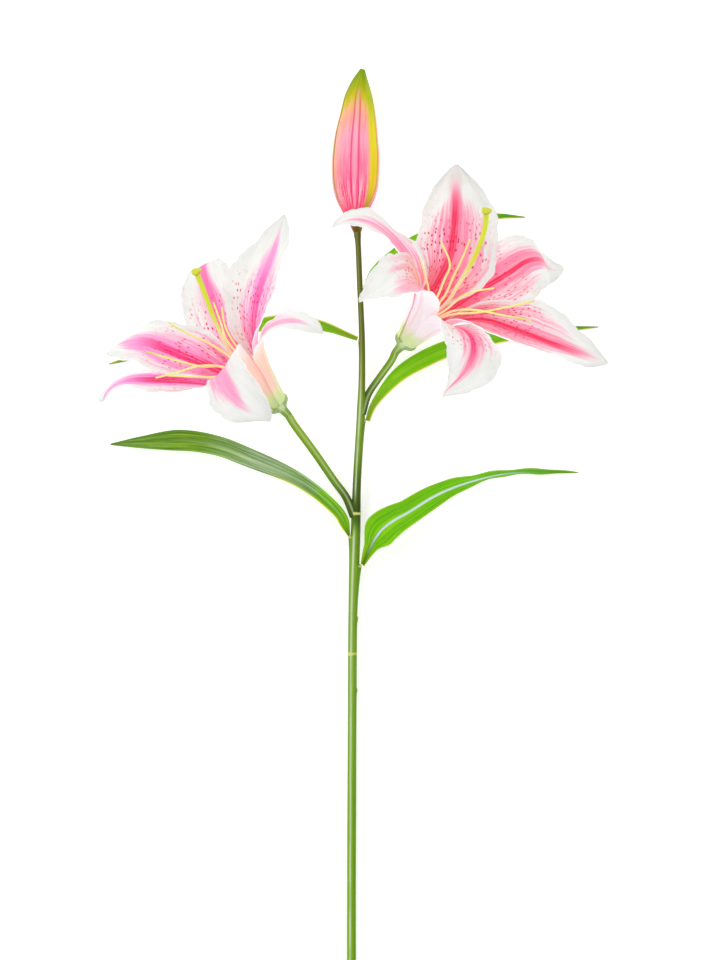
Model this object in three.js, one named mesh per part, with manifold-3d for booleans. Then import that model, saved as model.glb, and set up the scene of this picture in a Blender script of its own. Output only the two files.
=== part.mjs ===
// A cut lily lying on its back: one stem with five leaves, a closed bud and two open blooms.
// Millimetres. The stem runs along +Y from its cut end, the blooms open upwards (+Z) and the
// plant rests on the plane Z = 0.
import * as THREE from "three";
import { mergeVertices } from "three/addons/utils/BufferGeometryUtils.js";
import Module from "manifold-3d";

const wasm = await Module();
wasm.setup();

const TEPAL_THICKNESS = 0.7;
const LEAF_THICKNESS = 0.8;
const LEAF_FOLD = 0.22; // how far a leaf's margins stand above its midrib, as a share of its width

// How finely the blades are divided, along and across
const TEPAL_STEPS = 16;
const TEPAL_STRIPS = 6;
const STRIDES = 15; // short steps along a midrib for each row of points
const LEAF_STEPS = 18;
const LEAF_STRIPS = 4;

// The same for round pieces: sides and steps
const STEM_MESH = [10, 30];
const STALK_MESH = [8, 12];
const BUD_MESH = [18, 14];
const FILAMENT_MESH = [5, 8];
const STYLE_MESH = [8, 16];
const STIGMA_MESH = [12, 4];
const DISC_SIDES = 14;
const COLLAR_SIDES = 12;

// A flower stalk ends in a disc, just under the bloom's base, that the whole bloom stands on:
// [distance along the axis, radius] of the stalk's end, [radius, height] of the disc
const STALK_END = [[-12, 2.8], [-6, 3]];
const DISC_RADIUS = 8.6;
const DISC_TOP = -0.4;
const RECEPTACLE = [
  [0, -12],
  [2.8, -12],
  [3.4, -7],
  [6.2, -3.4],
  [DISC_RADIUS, -1.6],
  [DISC_RADIUS, DISC_TOP],
  [0, DISC_TOP],
];

// Roots of the tepals: the ring they stand on, half their width there and their lean outwards
const PETAL_RING = 6.2;
const SEPAL_RING = 7.8;
const PETAL_ROOT = 5.2;
const SEPAL_ROOT = 7;
const ROOT_WIDTH = [[0, 1], [0.1, 1.12]]; // its shares of the first tenth of the length
const ROOT_LEAN = 14;

// Shares of a tepal's length: where the tube ends, how much further than the throat's end it
// flares and bends, and where a swerve or a twist starts and is half done
const TUBE_AT = 0.18;
const FLARE_AFTER = 0.18;
const BEND_AFTER = 0.4;
const TURN_FROM = 0.3;
const TURN_MIDDLE = 0.65;
const TUBE_OPENS = [0.35, 0.65]; // over which a tepal stops hugging the axis
const CUP_GROWS = [[0, 0], [0.35, 0], [0.6, 1], [1, 1]];

// The margins of a tepal rise and fall in waves
const WAVE_HEIGHT = 1.2;
const WAVES = 3;
const WAVE_LAG = 1.9; // radians by which one margin follows the other
const WAVE_EDGE = 2.5; // the higher, the closer the waves keep to the margin
const WAVES_GROW = [0.25, 0.55];
const WAVES_END = 0.12; // share of the length over which they fade at the tip

// Stamens: a collar round the ovary, and filaments that run up the tube before they part
const STANDING = -0.05; // where collar and ovary start, just off the disc
const STAMEN_RING = 4.2;
const COLLAR_HALF = 0.7;
const COLLAR_HEIGHT = 2.6;
const BUNDLE_LENGTH = 20;
const BUNDLE_RING = 4.8;
const FILAMENT_RADIUS = 0.95;
const FILAMENT_TAPER = 0.35;

// Pistil: [distance along, radius] of the ovary on the bloom's axis and of the stigma past the style
const STYLE_RADIUS = 1.6;
const OVARY = [[STANDING, 1.8], [7, 2.6], [18, 2.6], [24, STYLE_RADIUS]];
const STIGMA = [[-1.6, STYLE_RADIUS], [-0.3, 3.2], [1.1, 3.4], [2.1, 1.8]];
const STIGMA_LOBE = 0.16;

// The main stem: [x, y, z, radius] up its middle
const STEM = [
  [-0.5, 0, 2.9, 3.2],
  [-0.5, 57, 4, 3.2],
  [0, 186, 7, 3.2],
  [0.5, 262, 9.6, 3.3],
  [1.4, 290, 11, 3.9],
  [2.4, 318, 12.6, 3.6],
  [3.5, 357, 15, 3],
  [6.3, 405, 18, 3],
  [6.9, 425, 18.6, 2.4],
  [7, 457, 19, 2.2],
  [5.6, 492, 18.6, 2],
  [4.3, 524, 18.1, 2],
  [3.7, 533, 17.9, 2.7],
];

// The closed bud: [x, y, z, radius] up its middle, and how far its three lobes stand out
const BUD = [
  [3.7, 533.4, 17.9, 2.9],
  [3, 541.5, 17.5, 5.8],
  [2.5, 549, 17.1, 9.6],
  [2.3, 557.5, 16.7, 13.8],
  [2.3, 569, 16.4, 16.6],
  [2.5, 583, 16.3, 17.2],
  [2.9, 600, 16.2, 15.8],
  [4, 616, 15.8, 13.1],
  [4.6, 630, 15, 10.1],
  [5.8, 641, 14.1, 6],
  [7.4, 649.5, 13.4, 1.9],
];
const BUD_LOBE = 0.04;

// A tepal is a petal (inner, wide) or a sepal (outer, narrow). It leaves the receptacle at an
// azimuth round the bloom's axis, measured from the side that faces the table. half gives the
// width on either side of its midrib and cup how far that side curls in. lean gives its angle
// from the axis at the end of the tube, at throatAt, where it flares, where it bends and at the
// tip. It is turned sideways by swerveAtBend and then by swerve, and about its midrib by twist.
// Angles are in degrees.
const RIGHT_BLOOM = {
  name: "right",
  base: [38, 456, 20],
  heading: 48,
  tilt: 32,
  stalk: [
    [7, 404, 18, 2.9],
    [11.5, 418, 16.4, 2.6],
    [19.5, 430, 14.4, 2.5],
    [28, 442, 13.6, 2.6],
  ],
  tepals: [
    {
      name: "petal_top",
      inner: true,
      azimuth: 42,
      length: 132,
      half: [37, 29],
      lean: [12, 17, 53, 56, 41],
      throatAt: 0.41,
      swerve: 24,
      swerveAtBend: 4,
      twist: -34,
      cup: [-0.25, -1.45],
    },
    {
      name: "petal_low",
      inner: true,
      azimuth: -95,
      length: 156,
      half: [35, 33],
      lean: [17, 38, 71, 74, 74],
      throatAt: 0.33,
      swerve: 21,
      swerveAtBend: 23,
      twist: 5,
      cup: [0.8, 0.55],
    },
    {
      name: "petal_near",
      inner: true,
      azimuth: 152,
      length: 119,
      half: [29.5, 20],
      lean: [15, 30, 59, 127, 104],
      throatAt: 0.36,
      swerve: 11,
      swerveAtBend: -6,
      twist: 57,
      cup: [1.15, 0],
    },
    {
      name: "sepal_right",
      azimuth: -28,
      length: 142,
      half: [28, 27],
      lean: [19, 40, 26, 123, 38],
      throatAt: 0.46,
      swerve: -11,
      swerveAtBend: -4,
      twist: 19,
      cup: [0, -0.45],
    },
    {
      name: "sepal_near",
      azimuth: -135,
      length: 131,
      half: [21.5, 24],
      lean: [17, 41, 69, 122, 187],
      throatAt: 0.35,
      swerve: -76,
      swerveAtBend: -13,
      twist: 38,
      cup: [0, -0.55],
    },
    {
      name: "sepal_left",
      azimuth: 92,
      length: 133,
      half: [25, 17],
      lean: [16, 33, 69, 86, 171],
      throatAt: 0.32,
      swerve: 39,
      swerveAtBend: 17,
      twist: 9,
      cup: [-0.4, 0.15],
    },
  ],
  // Filaments as [along, left of, above] the bloom's axis; start is the place on the collar,
  // in degrees from its left side over the top
  filaments: [
    { start: -5, points: [[37, 6, 1], [48, 13, 6], [64, 30, 12]] },
    { start: 50, points: [[41, 3, 3], [61, 8, 5], [73, 12, 6], [83, 27, 8]] },
    { start: -65, points: [[43, 0, -4], [63, 5, -5], [80, 9, -3], [95, 13, 0]] },
    { start: 105, points: [[44, -7, 5], [59, -9, 7], [71, -13, 9], [85, -22, 11]] },
    { start: -150, points: [[41, -12, 1], [57, -24, 4], [73, -34, 7], [99, -49, 11]] },
    { start: 160, points: [[43, -9, 8], [57, -15, 15], [69, -24, 21], [80, -37, 25], [95, -56, 28]] },
  ],
  style: [[43, -4, 0], [63, -2, 4], [85, 1, 8], [106, 6, 12], [121, 12, 15], [129, 17, 17]],
};
const LEFT_BLOOM = {
  name: "left",
  base: [-53, 411, 29],
  heading: 134,
  tilt: 28,
  stalk: [
    [1.5, 331, 13.2, 3.3],
    [-4.5, 345, 13.6, 2.9],
    [-12.5, 356, 14, 2.8],
    [-27, 377, 16, 2.8],
    [-42, 397.5, 21.5, 2.8],
  ],
  tepals: [
    {
      name: "petal_left",
      inner: true,
      azimuth: 43,
      length: 146,
      half: [27.5, 29],
      lean: [13, 33, 39, 85, 116],
      throatAt: 0.4,
      swerve: 0,
      swerveAtBend: -5,
      twist: 16,
      cup: [-0.3, 0.15],
    },
    {
      name: "petal_up",
      inner: true,
      azimuth: -90,
      length: 142,
      half: [32, 37],
      lean: [14, 28, 58, 71, 62],
      throatAt: 0.34,
      swerve: 21,
      swerveAtBend: 20,
      twist: 1,
      cup: [0.55, 0.5],
    },
    {
      name: "petal_near",
      inner: true,
      azimuth: 165,
      length: 128,
      half: [20.5, 19],
      lean: [17, 25, 120, 154, 200],
      throatAt: 0.46,
      swerve: 48,
      swerveAtBend: 3,
      twist: 54,
      cup: [0.4, 0.05],
    },
    {
      name: "sepal_up",
      azimuth: -21,
      length: 130,
      half: [24, 29],
      lean: [15, 26, 39, 48, 150],
      throatAt: 0.32,
      swerve: 16,
      swerveAtBend: -13,
      twist: 10,
      cup: [0, -0.15],
    },
    {
      name: "sepal_low",
      azimuth: 90,
      length: 140,
      half: [24, 28.5],
      lean: [18, 28, 40, 53, 94],
      throatAt: 0.34,
      swerve: 65,
      swerveAtBend: -20,
      twist: -5,
      cup: [-0.85, 0.35],
    },
    {
      name: "sepal_right",
      azimuth: -127,
      length: 119,
      half: [14, 21.5],
      lean: [17, 28, 67, 112, 137],
      throatAt: 0.39,
      swerve: -38,
      swerveAtBend: -7,
      twist: -25,
      cup: [-0.05, -0.3],
    },
  ],
  filaments: [
    { start: -80, points: [[49, 1, -4], [70, 5, -3], [88, 11, 0], [105, 15, 3]] },
    { start: -20, points: [[49, 9, -1], [63, 20, 2], [91, 34, 7], [104, 40, 10]] },
    { start: 50, points: [[51, 9, 5], [67, 20, 9], [78, 35, 13], [88, 48, 17]] },
    { start: 15, points: [[44, 12, 5], [58, 23, 9], [70, 32, 12], [82, 41, 15]] },
    { start: 120, points: [[49, -4, 6], [70, -6, 11], [82, -11, 13], [97, -17, 13]] },
    { start: -140, points: [[50, -7, -3], [66, -10, -3], [75, -14, -3], [83, -19, -2]] },
  ],
  style: [[52, -1, 0], [83, -9, 6], [108, -18, 11], [123, -23, 14]],
};

// Leaves: [x, y, z] up the midrib, then tables of [share of the length, value] for half the width
// and for the roll in degrees about the midrib
const LEAVES = [
  {
    name: "leaf_lower_left",
    midrib: [
      [-2.4, 317, 12.6],
      [-8, 331, 19],
      [-16, 340, 25],
      [-28, 350, 29],
      [-44, 360, 30],
      [-74, 373, 26],
      [-95, 381, 21],
      [-118, 385, 15],
      [-149, 384, 8],
      [-173, 382.5, 3],
    ],
    half: [[0, 1.8], [0.06, 4.2], [0.2, 4.8], [0.42, 6.4], [0.6, 7], [0.74, 7.4], [0.88, 4.4], [1, 0.5]],
    roll: [[0, -65], [0.06, -28], [0.3, -22], [0.5, -8], [1, 0]],
  },
  {
    name: "leaf_lower_right",
    midrib: [
      [7.6, 296.3, 12],
      [12.2, 307, 17],
      [16.5, 315.5, 21.5],
      [22, 322.5, 25],
      [30, 328.5, 27.5],
      [39.5, 333.8, 28.5],
      [58, 345.2, 27],
      [74, 352.2, 23],
      [93, 358, 18],
      [111, 361.5, 12],
      [134, 362.5, 7],
      [162, 362.4, 2.5],
    ],
    half: [[0, 2], [0.08, 5], [0.17, 12.2], [0.3, 9.4], [0.43, 8], [0.6, 5.5], [0.88, 3.2], [1, 0.5]],
    roll: [[0, 40], [0.15, 10], [0.35, 10], [0.55, 45], [0.7, 62], [1, 50]],
  },
  {
    name: "leaf_upper_left",
    midrib: [
      [3.85, 457.5, 19],
      [-5, 461, 17.6],
      [-13, 464.3, 15],
      [-24, 467.6, 12.5],
      [-40, 471, 9.8],
      [-58, 469.5, 7.5],
      [-94, 461.5, 4.6],
      [-137, 450, 3],
      [-174, 440, 2],
    ],
    half: [[0, 1.6], [0.08, 2.6], [0.18, 3.9], [0.45, 4.8], [0.7, 4.4], [0.9, 1.8], [1, 0.5]],
    roll: [[0, 10], [1, 0]],
  },
  {
    name: "leaf_middle_right",
    midrib: [
      [10.9, 399, 18],
      [14.5, 409, 20],
      [23, 421, 19.5],
      [32.5, 431, 16.5],
      [44, 439, 13],
      [66, 449.5, 10],
      [99, 458.5, 7],
      [138, 463.5, 4.5],
      [176, 466.5, 2.5],
    ],
    half: [[0, 1.8], [0.08, 3], [0.2, 5.6], [0.35, 7], [0.6, 5.6], [0.85, 2.6], [1, 0.5]],
    roll: [[0, -20], [0.3, 10], [1, 15]],
  },
  {
    name: "leaf_upper_right",
    midrib: [
      [9.4, 494, 18.4],
      [14.6, 503.8, 17.2],
      [20.5, 510, 15.5],
      [28.8, 516.2, 13],
      [46.5, 527.2, 9.5],
      [75, 538.5, 6],
      [102, 545.2, 4],
      [124, 545, 2.5],
    ],
    half: [[0, 1.6], [0.1, 2.8], [0.35, 5], [0.6, 4.6], [0.85, 2.2], [1, 0.5]],
    roll: [[0, 20], [1, 15]],
  },
];

// Colour and roughness of each kind of surface
const PETAL_LOOK = { color: 0xf3a6bd, roughness: 0.6 };
const SEPAL_LOOK = { color: 0xf0b4c4, roughness: 0.6 };
const LEAF_LOOK = { color: 0x6da32c, roughness: 0.55 };
const STEM_LOOK = { color: 0x8ba35c, roughness: 0.5 };
const BUD_LOOK = { color: 0xe0829a, roughness: 0.5 };
const FILAMENT_LOOK = { color: 0xe9e59a, roughness: 0.5 };
const PISTIL_LOOK = { color: 0xcbd545, roughness: 0.45 };

// Half width of a tepal as a share of its widest half, past the root
const PETAL_WIDTH = [
  [0.25, 0.4],
  [0.42, 0.8],
  [0.58, 1],
  [0.72, 0.93],
  [0.86, 0.62],
  [0.95, 0.28],
  [1, 0.04],
];
const SEPAL_WIDTH = [
  [0.25, 0.58],
  [0.42, 0.88],
  [0.56, 1],
  [0.72, 0.88],
  [0.86, 0.58],
  [0.95, 0.27],
  [1, 0.05],
];

const blooms = [LEFT_BLOOM, RIGHT_BLOOM];

const UP = new THREE.Vector3(0, 0, 1);
const SAME_POINT = 1e-5;
const FLAT = 1e-6; // a curvature too slight to divide by
const radians = THREE.MathUtils.degToRad;
const smooth = THREE.MathUtils.smoothstep;
const pointOf = ([x, y, z]) => new THREE.Vector3(x, y, z);

// The direction at an angle from one unit vector towards another.
const between = (from, towards, angle) =>
  from.clone().multiplyScalar(Math.cos(angle)).addScaledVector(towards, Math.sin(angle));

// A smooth value at t through a table of [t, value]: cubic pieces that never overshoot.
function follow(table, t) {
  const rise = (i) => (table[i + 1][1] - table[i][1]) / (table[i + 1][0] - table[i][0]);
  const slope = (i) => {
    if (i === 0) return rise(0);
    if (i === table.length - 1) return rise(i - 1);
    const [a, b] = [rise(i - 1), rise(i)];
    return a * b <= 0 ? 0 : (2 * a * b) / (a + b);
  };
  let k = 0;
  while (k < table.length - 2 && t >= table[k + 1][0]) k += 1;
  const width = table[k + 1][0] - table[k][0];
  const s = (t - table[k][0]) / width;
  const share = 3 * s ** 2 - 2 * s ** 3;
  const bend = (s ** 3 - 2 * s ** 2 + s) * slope(k) + (s ** 3 - s ** 2) * slope(k + 1);
  return (1 - share) * table[k][1] + share * table[k + 1][1] + width * bend;
}

function solidOf(geometry) {
  const bare = geometry.clone();
  bare.deleteAttribute("normal");
  bare.deleteAttribute("uv");
  const merged = mergeVertices(bare, SAME_POINT);
  const mesh = new wasm.Mesh({
    numProp: 3,
    vertProperties: merged.attributes.position.array,
    triVerts: new Uint32Array(merged.index.array),
  });
  return new wasm.Manifold(mesh);
}

function geometryOf(solid) {
  const mesh = solid.getMesh();
  const geometry = new THREE.BufferGeometry();
  geometry.setAttribute("position", new THREE.BufferAttribute(new Float32Array(mesh.vertProperties), 3));
  geometry.setIndex(new THREE.BufferAttribute(new Uint32Array(mesh.triVerts), 1));
  geometry.computeVertexNormals();
  return geometry;
}

function indexedGeometry(points, faces) {
  const numbers = points.flatMap((point) => point.toArray());
  const geometry = new THREE.BufferGeometry();
  geometry.setAttribute("position", new THREE.Float32BufferAttribute(numbers, 3));
  geometry.setIndex(faces.flat());
  return geometry;
}

// A closed blade of even thickness round a middle surface, given as rows of points from root to
// tip. Both faces are split into triangles alike.
function blade(rows, thickness) {
  const last = rows.length - 1;
  const across = rows[0].length;
  const near = (i, j) => rows[Math.min(Math.max(i, 0), last)][Math.min(Math.max(j, 0), across - 1)];
  const front = [];
  const back = [];
  rows.forEach((row, i) =>
    row.forEach((point, j) => {
      const along = near(i + 1, j).clone().sub(near(i - 1, j));
      const over = near(i, j + 1).clone().sub(near(i, j - 1));
      const half = along.cross(over).setLength(thickness / 2);
      front.push(point.clone().add(half));
      back.push(point.clone().sub(half));
    }),
  );
  const count = front.length;
  const faces = [];
  const rim = (a, b) => faces.push([a, b, b + count], [a, b + count, a + count]);
  for (let i = 0; i < last; i += 1) {
    for (let j = 0; j < across - 1; j += 1) {
      const a = i * across + j;
      const b = a + across;
      faces.push([a, b, a + 1], [a + 1, b, b + 1]);
      faces.push([a + count, a + 1 + count, b + count], [a + 1 + count, b + 1 + count, b + count]);
    }
    rim((i + 1) * across, i * across);
    rim((i + 1) * across - 1, (i + 2) * across - 1);
  }
  for (let j = 0; j < across - 1; j += 1) {
    rim(j, j + 1);
    rim(last * across + j + 1, last * across + j);
  }
  return indexedGeometry([...front, ...back], faces);
}

// A closed stalk through [x, y, z, radius] points. lobes swells it in three ridges.
function stalk(points, [sides, steps], lobes = 0) {
  const curve = new THREE.CatmullRomCurve3(points.map(pointOf));
  const radii = points.map((point, i) => [i / (points.length - 1), point[3]]);
  const rings = [];
  for (let i = 0; i <= steps; i += 1) {
    const t = i / steps;
    const centre = curve.getPoint(t);
    const along = curve.getTangent(t);
    const side = along.clone().cross(UP).normalize();
    const above = side.clone().cross(along);
    rings.push(centre);
    for (let k = 0; k < sides; k += 1) {
      const angle = (2 * Math.PI * k) / sides;
      const radius = follow(radii, t) * (1 - lobes * Math.sin(3 * angle));
      rings.push(centre.clone().addScaledVector(between(side, above, angle), radius));
    }
  }
  const faces = [];
  const first = (i) => i * (sides + 1);
  const index = (i, k) => first(i) + 1 + (k % sides);
  for (let k = 0; k < sides; k += 1) {
    faces.push([first(0), index(0, k), index(0, k + 1)]);
    faces.push([first(steps), index(steps, k + 1), index(steps, k)]);
    for (let i = 0; i < steps; i += 1) {
      faces.push([index(i, k), index(i + 1, k), index(i, k + 1)]);
      faces.push([index(i, k + 1), index(i + 1, k), index(i + 1, k + 1)]);
    }
  }
  // The centres of the rings between the ends belong to no face and fall away.
  return indexedGeometry(rings, faces).toNonIndexed();
}

// Directions of a bloom: its axis, the way that faces the table and the way to its left.
function framed(bloom) {
  const level = between(new THREE.Vector3(1, 0, 0), new THREE.Vector3(0, 1, 0), radians(bloom.heading));
  const axis = between(level, UP, radians(bloom.tilt));
  const under = axis.clone().multiplyScalar(axis.z).sub(UP).normalize();
  return { base: pointOf(bloom.base), axis, under, left: axis.clone().cross(under) };
}

// A point given by its distances along, left of and above a bloom's axis.
function fromAxis(frame, [along, left, above]) {
  return frame.base
    .clone()
    .addScaledVector(frame.axis, along)
    .addScaledVector(frame.left, left)
    .addScaledVector(frame.under, -above);
}

// Stations of a stalk on a bloom's axis, from [distance along it, radius].
const onAxis = (frame, stations) =>
  stations.map(([along, radius]) => [...fromAxis(frame, [along, 0, 0]).toArray(), radius]);

// A shape turned round +Y, stood on a bloom's base along its axis.
function stood(frame, profile, sides) {
  const geometry = new THREE.LatheGeometry(profile.map(([r, h]) => new THREE.Vector2(r, h)), sides);
  const matrix = new THREE.Matrix4().makeBasis(frame.left, frame.axis, frame.under);
  return geometry.applyMatrix4(matrix.setPosition(frame.base));
}

// How a tepal runs at the share u of its length: its directions along, across and into the bloom.
function tepalRun(frame, tepal, u) {
  const [tube, throat, flare, bend, tip] = tepal.lean;
  const { throatAt, swerve, swerveAtBend, twist } = tepal;
  const leans = [[0, ROOT_LEAN], [TUBE_AT, tube], [throatAt, throat]];
  leans.push([throatAt + FLARE_AFTER, flare], [throatAt + BEND_AFTER, bend], [1, tip]);
  const swerves = [[0, 0], [TURN_FROM, 0], [TURN_MIDDLE, swerveAtBend], [1, swerve]];
  const twists = [[0, 0], [TURN_FROM, 0], [TURN_MIDDLE, twist / 2], [1, twist]];
  const [lean, aside, turn] = [leans, swerves, twists].map((table) => radians(follow(table, u)));

  const out = between(frame.under, frame.left, radians(tepal.azimuth));
  const over = frame.axis.clone().cross(out);
  const along = between(frame.axis, between(out, over, aside), lean);
  const side = between(out, over, aside + Math.PI / 2);
  const inward = along.clone().cross(side);
  return {
    lean,
    out,
    along,
    across: between(side, inward, turn),
    inward: between(side, inward, turn + Math.PI / 2),
  };
}

// One row of a tepal's middle surface, bowed round the bloom's axis in the tube and by its cup.
function tepalRow(frame, tepal, u, middle) {
  const { inner, half, cup } = tepal;
  const { lean, across, inward } = tepalRun(frame, tepal, u);
  const root = inner ? PETAL_ROOT : SEPAL_ROOT;
  const times = (shares, size) => shares.map(([at, share]) => [at, size * share]);
  const shares = inner ? PETAL_WIDTH : SEPAL_WIDTH;
  const widths = half.map((size) => follow([...times(ROOT_WIDTH, root), ...times(shares, size)], u));
  const reach = middle.clone().sub(frame.base).cross(frame.axis).length();
  const hug = ((1 - smooth(u, ...TUBE_OPENS)) * Math.cos(lean)) / reach;
  const swell = WAVE_HEIGHT * smooth(u, ...WAVES_GROW) * Math.min((1 - u) / WAVES_END, 1);
  const row = [];
  for (let j = 0; j <= TEPAL_STRIPS; j += 1) {
    const v = (2 * j) / TEPAL_STRIPS - 1;
    const side = v > 0 ? 1 : 0;
    const width = widths[side];
    const curl = (cup[side] * follow(CUP_GROWS, u)) / half[side];
    const bow = Math.abs(hug + curl) < FLAT ? FLAT : hug + curl;
    const lag = v > 0 ? WAVE_LAG : 0;
    const wave = swell * Math.abs(v) ** WAVE_EDGE * Math.sin(2 * Math.PI * WAVES * u + lag);
    const point = middle.clone().addScaledVector(across, Math.sin(v * width * bow) / bow);
    row.push(point.addScaledVector(inward, (1 - Math.cos(v * width * bow)) / bow + wave));
  }
  return row;
}

// The middle surface of a tepal, as rows from root to tip.
function tepalRows(frame, tepal) {
  const ring = tepal.inner ? PETAL_RING : SEPAL_RING;
  const middle = frame.base.clone().addScaledVector(tepalRun(frame, tepal, 0).out, ring);
  const strides = TEPAL_STEPS * STRIDES;
  const rows = [];
  for (let k = 0; k <= strides; k += 1) {
    if (k % STRIDES === 0) rows.push(tepalRow(frame, tepal, k / strides, middle));
    const { along } = tepalRun(frame, tepal, Math.min((k + 0.5) / strides, 1));
    middle.addScaledVector(along, tepal.length / strides);
  }
  return rows;
}

// The middle surface of a leaf, as rows from root to tip.
function leafRows(leaf) {
  const curve = new THREE.CatmullRomCurve3(leaf.midrib.map(pointOf));
  const rows = [];
  for (let i = 0; i <= LEAF_STEPS; i += 1) {
    const u = i / LEAF_STEPS;
    const along = curve.getTangentAt(u);
    const side = along.clone().cross(UP).normalize();
    const above = side.clone().cross(along);
    const roll = radians(follow(leaf.roll, u));
    const width = follow(leaf.half, u);
    const row = [];
    for (let j = 0; j <= LEAF_STRIPS; j += 1) {
      const v = (2 * j) / LEAF_STRIPS - 1;
      const point = curve.getPointAt(u).addScaledVector(between(side, above, roll), v * width);
      row.push(point.addScaledVector(between(side, above, roll + Math.PI / 2), LEAF_FOLD * width * v * v));
    }
    rows.push(row);
  }
  return rows;
}

// Six filaments that stand on one low collar round the ovary.
function stamens(frame, bloom) {
  const [inside, outside] = [STAMEN_RING - COLLAR_HALF, STAMEN_RING + COLLAR_HALF];
  const [low, high] = [STANDING, COLLAR_HEIGHT];
  const collar = [[inside, low], [outside, low], [outside, high], [inside, high], [inside, low]];
  let whole = solidOf(stood(frame, collar, COLLAR_SIDES));
  bloom.filaments.forEach(({ start, points }) => {
    const onRing = (along, ring) => {
      const angle = radians(start);
      return [along, ring * Math.cos(angle), ring * Math.sin(angle)];
    };
    const path = [onRing(COLLAR_HEIGHT / 2, STAMEN_RING), onRing(BUNDLE_LENGTH, BUNDLE_RING), ...points];
    const thick = path.map((point, i) => {
      const radius = FILAMENT_RADIUS * (1 - (FILAMENT_TAPER * i) / (path.length - 1));
      return [...fromAxis(frame, point).toArray(), radius];
    });
    whole = whole.add(solidOf(stalk(thick, FILAMENT_MESH)));
  });
  return whole;
}

// Ovary, style and three-lobed stigma, grown in one.
function pistil(frame, bloom) {
  const ovary = onAxis(frame, OVARY);
  const style = bloom.style.map((point) => [...fromAxis(frame, point).toArray(), STYLE_RADIUS]);
  const [before, end] = style.slice(-2).map(pointOf);
  const onward = end.clone().sub(before).normalize();
  const stigma = STIGMA.map(([along, radius]) => {
    return [...end.clone().addScaledVector(onward, along).toArray(), radius];
  });
  return solidOf(stalk([...ovary, ...style], STYLE_MESH)).add(
    solidOf(stalk(stigma, STIGMA_MESH, STIGMA_LOBE)),
  );
}

// The stem with its two flower stalks and their receptacles, grown as one piece.
function stemSolid() {
  let whole = solidOf(stalk(STEM, STEM_MESH));
  blooms.forEach((bloom) => {
    const frame = framed(bloom);
    whole = whole.add(solidOf(stalk([...bloom.stalk, ...onAxis(frame, STALK_END)], STALK_MESH)));
    whole = whole.add(solidOf(stood(frame, RECEPTACLE, DISC_SIDES)));
  });
  return whole;
}

const lily = new THREE.Group();
lily.name = "cut_lily";

// Whatever would dip below the table is flattened where it lies on it.
function place(name, solid, look) {
  const material = new THREE.MeshStandardMaterial({ ...look, metalness: 0 });
  const mesh = new THREE.Mesh(geometryOf(solid.trimByPlane(UP.toArray(), 0)), material);
  mesh.name = name;
  lily.add(mesh);
}

place("stem", stemSolid(), STEM_LOOK);
place("bud", solidOf(stalk(BUD, BUD_MESH, BUD_LOBE)), BUD_LOOK);
LEAVES.forEach((leaf) => {
  place(leaf.name, solidOf(blade(leafRows(leaf), LEAF_THICKNESS)), LEAF_LOOK);
});
blooms.forEach((bloom) => {
  const frame = framed(bloom);
  bloom.tepals.forEach((tepal) => {
    const solid = solidOf(blade(tepalRows(frame, tepal), TEPAL_THICKNESS));
    place(bloom.name + "_" + tepal.name, solid, tepal.inner ? PETAL_LOOK : SEPAL_LOOK);
  });
  place(bloom.name + "_stamens", stamens(frame, bloom), FILAMENT_LOOK);
  place(bloom.name + "_pistil", pistil(frame, bloom), PISTIL_LOOK);
});

// The origin is the middle of the plant's outline on the table.
const middle = new THREE.Box3().setFromObject(lily, true).getCenter(new THREE.Vector3());
lily.position.set(-middle.x, -middle.y, 0);

export default lily;
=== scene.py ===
import math

import bpy
import numpy as np
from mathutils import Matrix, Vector


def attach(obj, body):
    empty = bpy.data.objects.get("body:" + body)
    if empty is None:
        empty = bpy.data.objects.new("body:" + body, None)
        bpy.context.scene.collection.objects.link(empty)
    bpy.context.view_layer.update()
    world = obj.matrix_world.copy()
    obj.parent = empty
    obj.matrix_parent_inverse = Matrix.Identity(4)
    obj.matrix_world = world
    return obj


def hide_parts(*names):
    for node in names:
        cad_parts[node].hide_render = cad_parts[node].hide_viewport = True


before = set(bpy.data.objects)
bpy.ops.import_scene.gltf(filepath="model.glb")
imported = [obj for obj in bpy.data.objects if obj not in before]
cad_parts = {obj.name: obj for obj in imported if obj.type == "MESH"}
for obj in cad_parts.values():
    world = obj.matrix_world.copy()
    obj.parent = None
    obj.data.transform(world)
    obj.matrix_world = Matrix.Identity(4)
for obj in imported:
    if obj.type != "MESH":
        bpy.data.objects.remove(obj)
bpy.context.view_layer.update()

# The stem
# A smooth green stem, cut off at its lower end. It thickens where a leaf or a flower stalk leaves
# it and carries a lip under every leaf, two small nubs and a thin ring where a leaf has dropped off.
# Sizes are in millimetres from the middle of the cut end: x to the right, y up the stem, z up.
# The stem is given by x, y, z and radius up its middle.
STEM = [
    (-0.5, 0, 2.9, 3.2), (-0.5, 57, 4, 3.15), (0, 186, 7, 3.15), (0.5, 262, 9.6, 3.2),
    (1.4, 290, 11, 3.55), (2.4, 318, 12.6, 3.5), (3.5, 357, 15, 3.0), (6.3, 405, 18, 3.0),
    (6.9, 425, 18.6, 2.4), (7, 457, 19, 2.2), (5.6, 492, 18.6, 2), (4.3, 524, 18.1, 2),
    (3.7, 533, 17.9, 2.7),
]
# Lips and nubs: height up the stem, degrees round it, how far they stand out, how far down they
# run out and over how many degrees
STEM_LIPS = [
    (296.5, 0, 1.9, 11, 55), (317, 180, 1.7, 12, 55), (258.6, 12, 1.3, 1.8, 26),
    (208, 12, 1.2, 1.8, 26), (400.5, 0, 0.9, 6, 45), (457, 180, 0.7, 5, 45), (495, 0, 0.6, 5, 45),
]
LIP_EDGE = 0.9
# Rings: height up the stem and how far they stand out
LEFT_STALK_AT = 333.5
STEM_RINGS = [(233, 0.6), (LEFT_STALK_AT, 0.5), (150, 0.15)]
RING_WIDTH = 0.8
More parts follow.
